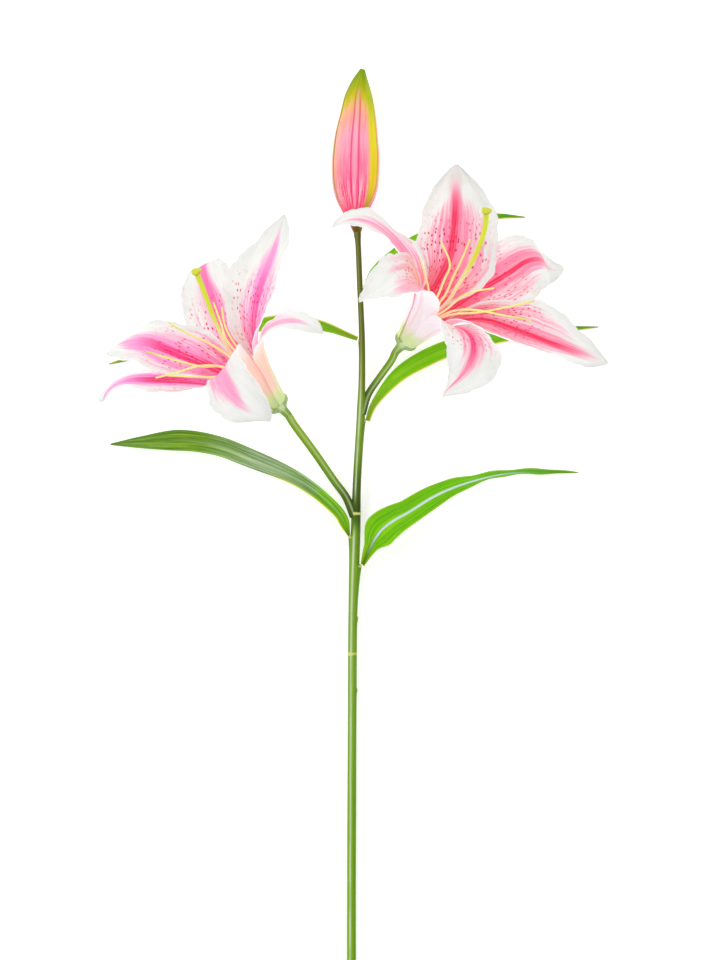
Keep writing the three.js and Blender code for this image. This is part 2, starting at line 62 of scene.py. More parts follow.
# Pale rims on both: height, and the swelling at which a rim starts and is full
STEM_RIMS = [(lip[0], 0.3 * lip[2], 0.75 * lip[2]) for lip in STEM_LIPS]
STEM_RIMS += [(ring[0], 0.1 * ring[1], 0.4 * ring[1]) for ring in STEM_RINGS[:2]]
# The stem's green, by height
STEM_GREEN = [
    (0, "86b814"), (120, "82b312"), (232, "90ba30"), (290, "88b428"), (318, "7ca420"),
    (331, "486a0a"), (335, "384e02"), (350, "4c6a06"), (385, "84a824"), (408, "86a82c"),
    (430, "7c8a16"), (470, "646c0c"), (533, "646212"),
]
# Faces that meet at more than this many degrees make a corner, on the stem and on all other pieces
CORNER = 50

low = np.array([v.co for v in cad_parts["stem"].data.vertices])
low = low[low[:, 1] < low[:, 1].min() + 1e-5]
CUT_END = np.array([(low[:, 0].min() + low[:, 0].max()) / 2 - STEM[0][0] / 1000, low[:, 1].min(), 0])


def colour(code):
    """The colour of a six-digit code, as light."""
    parts = [int(code[i:i + 2], 16) / 255 for i in (0, 2, 4)]
    return [c / 12.92 if c <= 0.04045 else ((c + 0.055) / 1.055) ** 2.4 for c in parts] + [1]


def smooth(x, start, end):
    """0 before start, 1 after end and an even swing between them."""
    t = np.clip((x - start) / (end - start), 0, 1)
    return t * t * (3 - 2 * t)


def turned_by(angle, start):
    """How many degrees an angle is away from the start, -180 to 180."""
    return (np.degrees(angle) - start + 180) % 360 - 180


def unit(v):
    return v / np.linalg.norm(v, axis=-1, keepdims=True)


def follow(stations, t):
    """Values at t along a table of (t, value), in cubic pieces that never overshoot."""
    x, y = np.array(stations, float).T
    rise = np.diff(y) / np.diff(x)
    a, b = rise[:-1], rise[1:]
    level = a * b <= 0
    slope = np.where(level, 0, 2 * a * b / np.where(level, 1, a + b))
    slope = np.concatenate([rise[:1], slope, rise[-1:]])
    t = np.asarray(t, float)
    k = np.clip(np.searchsorted(x, t, side="right") - 1, 0, len(x) - 2)
    width = x[k + 1] - x[k]
    s = (t - x[k]) / width
    share = 3 * s ** 2 - 2 * s ** 3
    bend = (s ** 3 - 2 * s ** 2 + s) * slope[k] + (s ** 3 - s ** 2) * slope[k + 1]
    return (1 - share) * y[k] + share * y[k + 1] + width * bend


def curve_through(points, t):
    """Points at t, from 0 to 1, on a smooth curve through the given points."""
    p = np.array(points, float)
    p = np.vstack([2 * p[0] - p[1], p, 2 * p[-1] - p[-2]])
    s = np.clip(t, 0, 1) * (len(p) - 3)
    k = np.minimum(s.astype(int), len(p) - 4)
    w = (s - k)[:, None]
    p0, p1, p2, p3 = p[k], p[k + 1], p[k + 2], p[k + 3]
    pairs = ((p0, p1), (p1, p2), (p2, p3))
    d0, d1, d2 = (np.sqrt(np.linalg.norm(b - a, axis=1))[:, None] for a, b in pairs)
    m1 = d1 * ((p1 - p0) / d0 - (p2 - p0) / (d0 + d1) + (p2 - p1) / d1)
    m2 = d1 * ((p2 - p1) / d1 - (p3 - p1) / (d1 + d2) + (p3 - p2) / d2)
    share = 3 * w ** 2 - 2 * w ** 3
    return (1 - share) * p1 + share * p2 + (w ** 3 - 2 * w ** 2 + w) * m1 + (w ** 3 - w ** 2) * m2


def run_along(points):
    """How far along the points each of them is."""
    return np.concatenate([[0], np.cumsum(np.linalg.norm(np.diff(points, axis=0), axis=1))])


def evened(points, steps):
    """The curve through the points in steps of even length."""
    fine = curve_through(points, np.linspace(0, 1, 600))
    run = run_along(fine)
    return np.array([np.interp(np.linspace(0, run[-1], steps), run, fine[:, i]) for i in range(3)]).T


def mark(piece, name, values):
    """Keeps a number or a vector for every point of the piece, for its material to read."""
    kind = "FLOAT_VECTOR" if np.ndim(values) > 1 else "FLOAT"
    attribute = piece.data.attributes.new(name, kind, "POINT")
    attribute.data.foreach_set("vector" if kind == "FLOAT_VECTOR" else "value", np.ravel(values))


def stacked(*values):
    """Values side by side for every point, each spread out to all points where it is the same."""
    return np.stack(np.broadcast_arrays(*values), -1)


def sheet(name, places, **marks):
    """A grid added flat and then laid on the given places: rows of points in millimetres."""
    rows, columns = places.shape[:2]
    pick()
    bpy.ops.mesh.primitive_grid_add(x_subdivisions=columns - 1, y_subdivisions=rows - 1, size=1)
    piece = bpy.context.object
    piece.name = piece.data.name = name
    laid = CUT_END + places.reshape(-1, 3) / 1000
    piece.data.vertices.foreach_set("co", laid.astype(np.float32).ravel())
    piece.data.update()
    for key, values in marks.items():
        mark(piece, key, values.reshape(rows * columns, -1).squeeze())
    return piece


def tube(name, centres, radii, sides, swell=None):
    """A round stalk: a grid rolled up round the centres, its long edges joined and its ends closed."""
    along = np.gradient(centres, axis=0)
    side = unit(np.cross(along, (0, 0, 1)))
    above = unit(np.cross(side, along))
    run = run_along(centres)
    ends = [0, *range(len(centres)), len(centres) - 1]
    centres, side, above, run = centres[ends], side[ends], above[ends], run[ends]
    radii = np.concatenate([[0], radii, [0]])
    angle = -np.linspace(0, 2 * np.pi, sides + 1)
    extra = swell(run[:, None], angle[None], radii[:, None]) if swell else np.zeros((len(run), sides + 1))
    reach = (radii[:, None] + extra * (radii[:, None] > 0))[..., None]
    ring = np.cos(angle)[None, :, None] * side[:, None] + np.sin(angle)[None, :, None] * above[:, None]
    grain = stacked(radii.max() * np.cos(angle)[None], run[:, None], radii.max() * np.sin(angle)[None])
    piece = sheet(name, centres[:, None] + ring * reach, grain=grain, lip=extra)
    bpy.ops.object.mode_set(mode="EDIT")
    bpy.ops.mesh.select_all(action="SELECT")
    bpy.ops.mesh.remove_doubles(threshold=1e-6)
    bpy.ops.mesh.normals_make_consistent(inside=False)
    bpy.ops.object.mode_set(mode="OBJECT")
    return piece


def pick(*pieces):
    """Selects these pieces alone and makes the first one active."""
    bpy.ops.object.select_all(action="DESELECT")
    for piece in pieces:
        piece.select_set(True)
        bpy.context.view_layer.objects.active = pieces[0]


def joined(pieces):
    """Several pieces made one."""
    pick(*pieces)
    bpy.ops.object.join()
    return pieces[0]


def done(piece, node, slot):
    """Smooths the piece except at its corners and puts it in the place of its solid."""
    pick(piece)
    bpy.ops.object.shade_smooth_by_angle(angle=math.radians(CORNER))
    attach(piece, "root")
    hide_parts(node)


class Bench:
    """Puts shader nodes into a tree. An input is a number, a vector or another node's output."""

    def __init__(self, tree):
        self.tree = tree

    def put(self, kind, *inputs, **settings):
        node = self.tree.nodes.new(kind)
        for key, value in settings.items():
            setattr(node, key, value)
        for socket, value in zip(node.inputs, inputs):
            self.feed(socket, value)
        return node

    def feed(self, socket, value):
        if isinstance(value, bpy.types.NodeSocket):
            self.tree.links.new(value, socket)
        elif value is not None:
            socket.default_value = value

    def fill(self, node, **inputs):
        """Feeds inputs by their names, with low lines for the spaces."""
        for name, value in inputs.items():
            self.feed(node.inputs[name.replace("_", " ")], value)
        return node.outputs[0]

    def reckon(self, operation, *inputs):
        return self.put("ShaderNodeMath", *inputs, operation=operation).outputs[0]

    def sum(self, first, second):
        return self.reckon("ADD", first, second)

    def less(self, first, second):
        return self.reckon("SUBTRACT", first, second)

    def times(self, first, *others):
        for other in others:
            first = self.reckon("MULTIPLY", first, other)
        return first

    def over(self, first, second):
        return self.reckon("DIVIDE", first, second)

    def amount(self, value):
        """The value without its sign."""
        return self.reckon("ABSOLUTE", value)

    def apart(self, first, second):
        return self.amount(self.less(first, second))

    def swing(self, value, start, end, low=0.0, high=1.0):
        """low before start, high after end and an even swing between them."""
        inputs = (value, start, end, low, high)
        return self.put("ShaderNodeMapRange", *inputs, interpolation_type="SMOOTHSTEP").outputs[0]

    def fall(self, value, start, end):
        """1 before start, 0 after end."""
        return self.swing(value, start, end, 1, 0)

    def mix(self, under, over, *shares, blend="MIX"):
        """One colour laid over another, as strongly as the shares say when multiplied."""
        node = self.put("ShaderNodeMix", self.times(*shares), data_type="RGBA", blend_type=blend)
        self.feed(node.inputs[6], under)
        self.feed(node.inputs[7], over)
        return node.outputs[2]

    def wash(self, under, code, *shares):
        return self.mix(under, colour(code), *shares)

    def tint(self, under, code, *shares):
        """What is under it darkened by the colour of a code."""
        return self.mix(under, colour(code), *shares, blend="MULTIPLY")

    def ramp(self, value, stops):
        """A colour for every value, from stops of a place and a colour's code."""
        node = self.put("ShaderNodeValToRGB", value)
        node.color_ramp.interpolation = "EASE"
        for i, (place, code) in enumerate(stops):
            element = node.color_ramp.elements[i] if i < 2 else node.color_ramp.elements.new(place)
            element.position = place
            element.color = colour(code)
        return node.outputs[0]

    def read(self, name, output="Vector"):
        """What mark() kept on the piece."""
        return self.put("ShaderNodeAttribute", attribute_name=name).outputs[output]

    def split(self, vector):
        return self.put("ShaderNodeSeparateXYZ", vector).outputs[:]

    def use(self, group, *inputs):
        return self.put("ShaderNodeGroup", *inputs, node_tree=group).outputs

    def streaks(self, place, *counts):
        """Fine lines at a place, one set for every pair of counts across and along."""
        return [self.use(STREAKS, place, across, along)[0] for across, along in counts]


def effect(name, inputs, outputs):
    """A new node group with named inputs and outputs."""
    group = bpy.data.node_groups.new(name, "ShaderNodeTree")
    kinds = {"vector": "NodeSocketVector", "value": "NodeSocketFloat", "colour": "NodeSocketColor"}
    for way, sockets in (("INPUT", inputs), ("OUTPUT", outputs)):
        for label, kind in sockets:
            group.interface.new_socket(name=label, in_out=way, socket_type=kinds[kind])
    bench = Bench(group)
    return group, bench, bench.put("NodeGroupInput").outputs


class Skin(Bench):
    """The bench of a new material with its surface shader."""

    def __init__(self, name, roughness, specular):
        self.made = bpy.data.materials.new(name)
        self.made.use_nodes = True
        self.made.node_tree.nodes.clear()
        super().__init__(self.made.node_tree)
        self.shader = self.put("ShaderNodeBsdfPrincipled")
        surface = self.surface(Roughness=roughness, Specular_IOR_Level=specular)
        self.put("ShaderNodeOutputMaterial", surface)

    def surface(self, **inputs):
        return self.fill(self.shader, **inputs)

    def show(self, shown, painted_glow):
        """Gives a surface its colour, and a little of it as a painted glow that stands in for light let
        through thin tissue.
        """
        self.surface(Base_Color=shown, Emission_Color=shown, Emission_Strength=painted_glow)

    def stand_out(self, height, depth, strength):
        """Lets a height in the range 0 to 1 stand out by depth metres."""
        bump = self.put("ShaderNodeBump")
        self.surface(Normal=self.fill(bump, Strength=strength, Distance=depth, Height=height))

    def soften(self):
        """Lets light spread under the skin of a petal."""
        self.surface(Subsurface_Weight=0.3, Subsurface_Scale=0.001, Subsurface_Radius=(1.2, 0.7, 0.8))


# Fine lines that run along a leaf, a petal or a stem, as many across and along as asked for
STREAKS, bench, given = effect(
    "streaks", [("Place", "vector"), ("Across", "value"), ("Along", "value")], [("Lines", "value")])
stretches = given["Across"], given["Along"], given["Across"]
stretched = [bench.times(side, stretch) for side, stretch in zip(bench.split(given["Place"]), stretches)]
stretched = bench.put("ShaderNodeCombineXYZ", *stretched).outputs[0]
lines = bench.put("ShaderNodeTexNoise")
lines = bench.fill(lines, Vector=stretched, Scale=1, Detail=3, Roughness=0.6)
bench.put("NodeGroupOutput", bench.swing(lines, 0.3, 0.7))


def stem_material(name, stops, highlight_side, highlight_pale, rims=(), joint=-50.0):
    """Green skin that changes upwards, with fine lines, pale rims, a painted highlight along its top and
    painted shade towards its sides.

    The painted highlight fades at the joint, a height that lies off the piece where it has none.
    """
    length = stops[-1][0]
    bench = Skin(name, 0.36, 0.15)
    grain = bench.read("grain")
    lines, fine = bench.streaks(grain, (1.1, 0.035), (4.0, 0.09))
    place = bench.split(grain)
    skin = bench.ramp(bench.over(place[1], length), [(y / length, c) for y, c in stops])
    skin = bench.tint(skin, "9fb43e", lines, 0.35)
    skin = bench.wash(skin, "b4c860", fine, 0.1)
    off_highlight = bench.apart(place[0], highlight_side)
    # Painted shade: the skin darkens away from the painted highlight, towards the sides.
    skin = bench.tint(skin, "7c9a34", bench.swing(off_highlight, 1.2, 3.6, 0, 0.5))
    # A pale painted highlight along the top, to one side of the middle, weaker higher up and gone at the
    # joint.
    skin = bench.wash(
        skin, "d8e8bc", bench.fall(off_highlight, 0.2, 1.25), bench.swing(place[2], 0.0, 0.6),
        bench.swing(lines, 0.0, 0.6, 0.35, highlight_pale), bench.swing(place[1], 400.0, 470.0, 1, 0.15),
        bench.swing(bench.apart(place[1], joint), 4.0, 20.0))
    lip = bench.read("lip", "Fac")
    for height, start, full in rims:
        off_rim = bench.apart(place[1], height)
        on_lip = bench.swing(lip, start, full)
        skin = bench.wash(skin, "e6ea86", bench.fall(off_rim, 0.7, 1.8), on_lip, 0.85)
    bench.show(skin, 0.05)
    bench.surface(Roughness=bench.swing(lines, 0.0, 1.0, 0.3, 0.44))
    bench.stand_out(bench.sum(lines, fine), 0.0002, 0.5)
    return bench.made


def stem_swell(run, angle, _):
    """What the lips and rings add to the stem's radius, by height and by angle round it."""
    extra = 0 * run * angle
    for height, side, out, runs_out, wide in STEM_LIPS:
        away = turned_by(angle, side)
        below = np.exp(-np.maximum(height - run, 0) / runs_out)
        above = 1 - smooth(run, height, height + LIP_EDGE)
        extra = extra + out * below * above * np.exp(-(away / wide) ** 2)
    for height, out in STEM_RINGS:
        round_it = 0.85 + 0.15 * np.cos(3 * angle + height)
        extra = extra + out * np.exp(-((run - height) / RING_WIDTH) ** 2) * round_it
    return extra + 0.05 * np.sin(run / 21) * np.cos(2 * angle + run / 60)


def stalk_piece(name, points, sides, steps, swell=None):
    """A stalk through (x, y, z, radius) points."""
    t = np.linspace(0, 1, steps)
    radii = follow([(i / (len(points) - 1), p[3]) for i, p in enumerate(points)], t)
    return tube(name, curve_through([p[:3] for p in points], t), radii, sides, swell)


main_stem = stalk_piece("stem_and_stalks", STEM, sides=40, steps=620, swell=stem_swell)
STEM_SKIN = stem_material("stem_skin", STEM_GREEN, -1.1, 0.85, STEM_RIMS, LEFT_STALK_AT)
main_stem.data.materials.append(STEM_SKIN)


# The stalks and receptacles of the two blooms
# Each open flower stands on a green side stalk that widens into a small flat seat, where petals,
# sepals, stamens and pistil grow on. They are one piece with the stem.
LEFT_STALK = [(1.5, 331, 13.2, 3.3), (-4.5, 345, 13.6, 2.9), (-12.5, 356, 14, 2.8), (-27, 377, 16, 2.8),
              (-42, 397.5, 21.5, 2.8)]
RIGHT_STALK = [(7, 404, 18, 2.9), (11.5, 418, 16.4, 2.6), (19.5, 430, 14.4, 2.5), (28, 442, 13.6, 2.6)]
# Where a stalk ends and the seat on it: height on the flower's axis and radius
STALK_END = [(-12, 2.8), (-6, 3.0)]
SEAT = [(-12.5, 2.8), (-7, 3.4), (-3.4, 6.2), (-1.4, 8.4), (0.4, 8.9), (1.4, 8.6)]


class Bloom:
    """Where an open flower is: its seat, the way it points and the sides of that way."""

    def __init__(self, side, base, heading, tilt):
        turn, rise = math.radians(heading), math.radians(tilt)
        self.side = side
        self.base = np.array(base, float)
        level = math.cos(rise)
        self.axis = np.array([math.cos(turn) * level, math.sin(turn) * level, math.sin(rise)])
        self.under = unit(self.axis * self.axis[2] - (0, 0, 1))
        self.left = np.cross(self.axis, self.under)

    def at(self, along, left, above):
        """The place so far along, left of and above the flower's axis."""
        return self.base + along * self.axis + left * self.left - above * self.under


def seat_lobes(run, angle, radius):
    """Three low lobes on the seat's upper part."""
    return 0.03 * radius * np.cos(3 * angle) * smooth(run, 5, 11)


LEFT_BLOOM = Bloom("left", (-53, 411, 29), 134, 28)
RIGHT_BLOOM = Bloom("right", (38, 456, 20), 48, 32)

stalks = []
for bloom, stalk in ((LEFT_BLOOM, LEFT_STALK), (RIGHT_BLOOM, RIGHT_STALK)):
    points = stalk + [(*bloom.at(along, 0, 0), radius) for along, radius in STALK_END]
    stalks.append(stalk_piece(f"{bloom.side}_stalk", points, sides=28, steps=110))
    heights = np.linspace(SEAT[0][0], SEAT[-1][0], 30)
    centres = np.array([bloom.at(along, 0, 0) for along in heights])
    stalks.append(tube(f"{bloom.side}_seat", centres, follow(SEAT, heights), sides=36, swell=seat_lobes))

STALK_GREEN = [(0, "3c5404"), (12, "4c6a06"), (36, "82aa14"), (75, "9cc026"), (96, "aed05c"),
               (110, "a8cb58")]
SEAT_GREEN = [(0, "a8cc5c"), (6, "bcdc84"), (10, "d6ecb0"), (14, "dcf0bc")]
STALK_SKIN = stem_material("stalk_skin", STALK_GREEN, 0.5, 0.4)
SEAT_SKIN = stem_material("seat_skin", SEAT_GREEN, 0.3, 0.3)
for stalk in stalks:
    stalk.data.materials.append(SEAT_SKIN if "seat" in stalk.name else STALK_SKIN)
done(joined([main_stem, *stalks]), "stem", "stem")


# The leaves
# Five long leaves with parallel veins, thin and waxy. Each clasps the stem at a lip, stands off
# it and arches over, some turned so that the paler underside shows.
LEAF_THICKNESS = 0.55
LEAF_FOLD = 0.22
MIDRIB_DEPTH = 0.35
MIDRIB_HALF = 0.8
LEAF_ROWS = 170
LEAF_COLUMNS = 33


def leaf_places(midrib, half, roll, waves):
    """The leaf's middle sheet, how it lies across and along, and its veins' places in millimetres."""
    u = np.linspace(0, 1, LEAF_ROWS)
    v = np.linspace(-1, 1, LEAF_COLUMNS)
    centres = evened(midrib, LEAF_ROWS)
    along = unit(np.gradient(centres, axis=0))
    side = unit(np.cross(along, (0, 0, 1)))
    above = np.cross(side, along)
    turn = np.radians(follow(roll, u))[:, None]
    over = side * np.cos(turn) + above * np.sin(turn)
    raised = above * np.cos(turn) - side * np.sin(turn)
    wide = follow(half, u)[:, None]
    depth, pitch, start = waves
    run = run_along(centres)[:, None]
    margin = np.abs(v)[None] ** 3 * np.minimum(wide / 5, 1)
    lift = LEAF_FOLD * wide * v ** 2 - MIDRIB_DEPTH * np.exp(-(v * wide / MIDRIB_HALF) ** 2)
    lift = lift + depth * margin * np.sin(run / pitch + start + 1.7 * (v > 0))
    places = centres[:, None] + over[:, None] * (v * wide)[..., None] + raised[:, None] * lift[..., None]
    return places, u, v, wide, run


def thickened(piece, thickness, faces):
    """Gives a sheet its thickness, with one finish for its front and rim and one for its back."""
    for face in faces:
        piece.data.materials.append(face)
    bpy.context.view_layer.objects.active = piece
    solid = piece.modifiers.new("thickness", "SOLIDIFY")
    solid.thickness = thickness / 1000
    solid.offset = 0
    solid.use_even_offset = True
    solid.thickness_clamp = 1
    solid.material_offset = 1
    bpy.ops.object.modifier_apply(modifier=solid.name)


def leaf_face(name, stops, rib, rib_strength, margin, lines_dark, contrast, rib_wide=1.1, edge_side=0.0,
              edge_end=2.0):
    """One face of a leaf: its green from root to tip, parallel veins, midrib, painted shade in the fold by
    the midrib near the root, and edge line.

    The edge line lies on both sides, or on the one that edge_side gives, up to edge_end.
    """
    bench = Skin(name, 0.4, 0.15)
    v, u, wide = bench.split(bench.read("leaf"))
    coarse, fine, cloud = bench.streaks(bench.read("vein"), (0.8, 0.015), (2.4, 0.03), (0.12, 0.05))
    skin = bench.ramp(u, stops)
    skin = bench.tint(skin, lines_dark, cloud, 0.25)
    skin = bench.tint(skin, lines_dark, coarse, contrast)
    skin = bench.tint(skin, lines_dark, fine, contrast * 0.6)
    aside = bench.amount(v)
    from_rib = bench.times(aside, wide)
    # Painted shade: darker green beside the midrib near the root, where the leaf folds.
    painted_fold_shade = bench.swing(from_rib, 0.4, 2.4, 0.75 * rib_strength, 0)
    skin = bench.wash(skin, "44780e", painted_fold_shade, bench.fall(u, 0.1, 0.24))
    ribbed = bench.swing(from_rib, 0.25 * rib_wide, rib_wide, rib_strength, 0)
    skin = bench.wash(skin, rib, ribbed, bench.swing(u, 0.03, 0.16), bench.fall(u, 0.62, 0.86))
    edge = bench.swing(bench.times(bench.less(1.0, aside), wide), 0.3, 1.2, 0.85, 0)
    facing = bench.swing(bench.times(v, edge_side), -0.5, 0.5, 0, 1)
    skin = bench.wash(skin, margin, edge, facing, bench.fall(u, edge_end - 0.15, edge_end))
    bench.show(skin, 0.1)
    bench.surface(Roughness=bench.swing(coarse, 0, 1, 0.32, 0.5))
    bench.stand_out(bench.sum(coarse, fine), 0.0003, 0.7)
    return bench.made


def leaf(node, midrib, half, roll, waves, faces):
    """A leaf through the points of its midrib, with tables of its half width and of its roll.

    Its waves are their depth, their pitch and where they start. Its veins run closer together where
    it is narrow, so they are counted at its widest.
    """
    places, u, v, wide, run = leaf_places(midrib, half, roll, waves)
    widest = max(size for _, size in half)
    seed = len(node) * 7.0
    piece = sheet("lily_" + node, places, leaf=stacked(v[None], u[:, None], wide),
                  vein=stacked(v[None] * widest, run, seed))
    thickened(piece, LEAF_THICKNESS, faces)
    done(piece, node, "leaf")


GREEN_FACE = leaf_face(
    "leaf_upper_face",
    [(0, "c0e428"), (0.12, "98e010"), (0.45, "8cda0c"), (0.8, "7ac818"), (1, "86b83a")],
    "dcecf0", 0.9, "c8e43a", "98cc40", 0.65, 1.4)
BRIGHT_FACE = leaf_face(
    "bright_leaf_face",
    [(0, "b4cf3c"), (0.15, "96d814"), (0.5, "8ed40c"), (0.85, "78c01a"), (1, "8abb3c")],
    "9fd040", 0.4, "f0e070", "a4cc50", 0.5, edge_side=1.0)
DULL_FACE = leaf_face(
    "leaf_underside",
    [(0, "8fb85a"), (0.2, "88a860"), (0.6, "8fa577"), (1, "93a56e")],
    "b5c794", 0.5, "b9c88e", "7f9468", 0.5)
TURNED_FACE = leaf_face(
    "turned_leaf_face",
    [(0, "c5dc4a"), (0.04, "bcff38"), (0.18, "bcff40"), (0.25, "ccecac"), (0.45, "d4e8c0"),
     (0.58, "bcdc8c"), (0.68, "a4d040"), (1, "a4cc60")],
    "e4f0d4", 0.15, "f2f000", "8cac68", 0.95, edge_side=-1.0, edge_end=0.42)

leaf("leaf_lower_left",
     [(-2.4, 317, 12.6), (-8, 331, 19), (-16, 340, 25), (-28, 350, 29), (-44, 360, 30), (-74, 373, 26),
      (-95, 381, 21), (-118, 385, 15), (-149, 384, 8), (-173, 382.5, 3)],
     [(0, 1.8), (0.06, 4.2), (0.2, 4.8), (0.42, 6.4), (0.6, 7), (0.74, 7.4), (0.88, 4.4), (1, 0.5)],
     [(0, -65), (0.06, -28), (0.3, -22), (0.5, -8), (1, 0)], (0.3, 9, 0.5), (TURNED_FACE, GREEN_FACE))
leaf("leaf_lower_right",
     [(7.6, 296.3, 12), (12.2, 307, 17), (16.5, 315.5, 21.5), (22, 322.5, 25), (30, 328.5, 27.5),
      (39.5, 333.8, 28.5), (58, 345.2, 27), (74, 352.2, 23), (93, 358, 18), (111, 361.5, 12),
      (134, 362.5, 7), (162, 362.4, 2.5)],
     [(0, 2), (0.08, 5), (0.17, 12.2), (0.3, 9.4), (0.43, 8), (0.6, 5.5), (0.88, 3.2), (1, 0.5)],
     [(0, 40), (0.15, 10), (0.35, 10), (0.55, 45), (0.7, 62), (1, 50)], (0.7, 4.6, 0),
     (GREEN_FACE, DULL_FACE))
leaf("leaf_upper_left",
     [(3.85, 457.5, 19), (-5, 461, 17.6), (-13, 464.3, 15), (-24, 467.6, 12.5), (-40, 471, 9.8),
      (-58, 469.5, 7.5), (-94, 461.5, 4.6), (-137, 450, 3), (-174, 440, 2)],
     [(0, 1.6), (0.08, 2.6), (0.18, 3.9), (0.45, 4.8), (0.7, 4.4), (0.9, 1.8), (1, 0.5)],
     [(0, 10), (1, 0)], (0.2, 9, 1), (BRIGHT_FACE, DULL_FACE))
leaf("leaf_middle_right",
     [(10.9, 399, 18), (14.5, 409, 20), (23, 421, 19.5), (32.5, 431, 16.5), (44, 439, 13),
      (66, 449.5, 10), (99, 458.5, 7), (138, 463.5, 4.5), (176, 466.5, 2.5)],
     [(0, 1.8), (0.08, 2.8), (0.2, 5), (0.35, 6.4), (0.6, 5.4), (0.85, 2.6), (1, 0.5)],
     [(0, -20), (0.3, 10), (1, 15)], (0.3, 7, 2), (BRIGHT_FACE, DULL_FACE))
leaf("leaf_upper_right",
     [(9.4, 494, 18.4), (14.6, 503.8, 17.2), (20.5, 510, 15.5), (28.8, 516.2, 13), (46.5, 527.2, 9.5),
      (75, 538.5, 6), (102, 545.2, 4), (124, 545, 2.5)],
     [(0, 1.6), (0.1, 2.8), (0.35, 5), (0.6, 4.6), (0.85, 2.2), (1, 0.5)],
     [(0, 20), (1, 15)], (0.25, 7, 0), (BRIGHT_FACE, DULL_FACE))


# The bud
# Three sepals, each with a double keel down its middle, are still folded shut over the petals,
# with a yellow band beside the right-hand seam. It is pink with a green tip and grows on the stem's top.
BUD = [
    (3.7, 533.4, 17.9, 2.9), (3, 541.5, 17.5, 5.8), (2.5, 549, 17.1, 9.6), (2.3, 557.5, 16.7, 13.8),
    (2.3, 569, 16.4, 16.6), (2.5, 583, 16.3, 17.2), (2.9, 600, 16.2, 15.8), (4, 616, 15.8, 13.1),
    (4.6, 630, 15, 10.1), (5.8, 641, 14.1, 6), (7.4, 649.5, 13.4, 1.9),
]
# Degrees round the bud: its front keel from the right and half of the front sepal, then the seam
# and the double ridge from a keel, and then the yellow band and the left seam from straight up
KEEL_AT, FRONT_HALF = 92, 74
SEAM_AT, RIDGE_AT = 56, 7
BAND, LEFT_SEAM = (36.0, 69.0), -72.0
# Colours from the stalk to the tip, of the bud and of its yellow band
BUD_PINK = [
    (0, "605e10"), (0.12, "6c6214"), (0.17, "f83470"), (0.26, "ff5c92"), (0.42, "ff86ac"),
    (0.6, "ffa8c0"), (0.72, "ffac9c"), (0.79, "f4c068"), (0.85, "d0cc1c"), (0.93, "a8bc08"),
    (1, "84ac08"),
]
BAND_YELLOW = [
    (0, "6c6a14"), (0.09, "a07818"), (0.3, "f0d000"), (0.6, "f2e000"), (0.85, "b8c404"), (1, "84ac08"),
]
# Dark lines along two seams: degrees round the bud, width and colour
DARK_SEAMS = [(BAND[1], 3.4, "868a0c"), (LEFT_SEAM, 9.0, "a88c18")]


def from_keel(angle):
    """Degrees from the nearest sepal's keel, -60 to 60, with the front sepal wider than the others."""
    turned = turned_by(angle, KEEL_AT)
    front = turned * 60 / FRONT_HALF
    behind = (np.abs(turned) - FRONT_HALF) * 120 / (360 - 2 * FRONT_HALF) * 2
    behind = np.sign(turned) * (behind - 60)
    return np.where(np.abs(turned) < FRONT_HALF, front, behind)


def bud_swell(run, angle, radius):
    """Lobes, double keels and a seam, fading towards the stalk and the tip."""
    share = run / run.max()
    off = from_keel(angle)
    full = smooth(share, 0.02, 0.2) * (1 - smooth(share, 0.86, 1))
    ridge = np.exp(-((np.abs(off) - RIDGE_AT) / 3.2) ** 2) - 0.5 * np.exp(-(off / 4.5) ** 2)
    seam = np.exp(-((off - SEAM_AT) / 2) ** 2)
    petal = np.exp(-((np.abs(off) - 60) / 9) ** 2)
    low_ridges = np.cos(np.radians(off) * 9) * (1 - smooth(share, 0.1, 0.4)) * smooth(share, 0, 0.05)
    lobes = 0.036 * np.cos(np.radians(off) * 3)
    shape = lobes + 0.02 * ridge * full - 0.04 * seam * full + 0.012 * petal * full
    return radius * (shape + 0.035 * low_ridges)


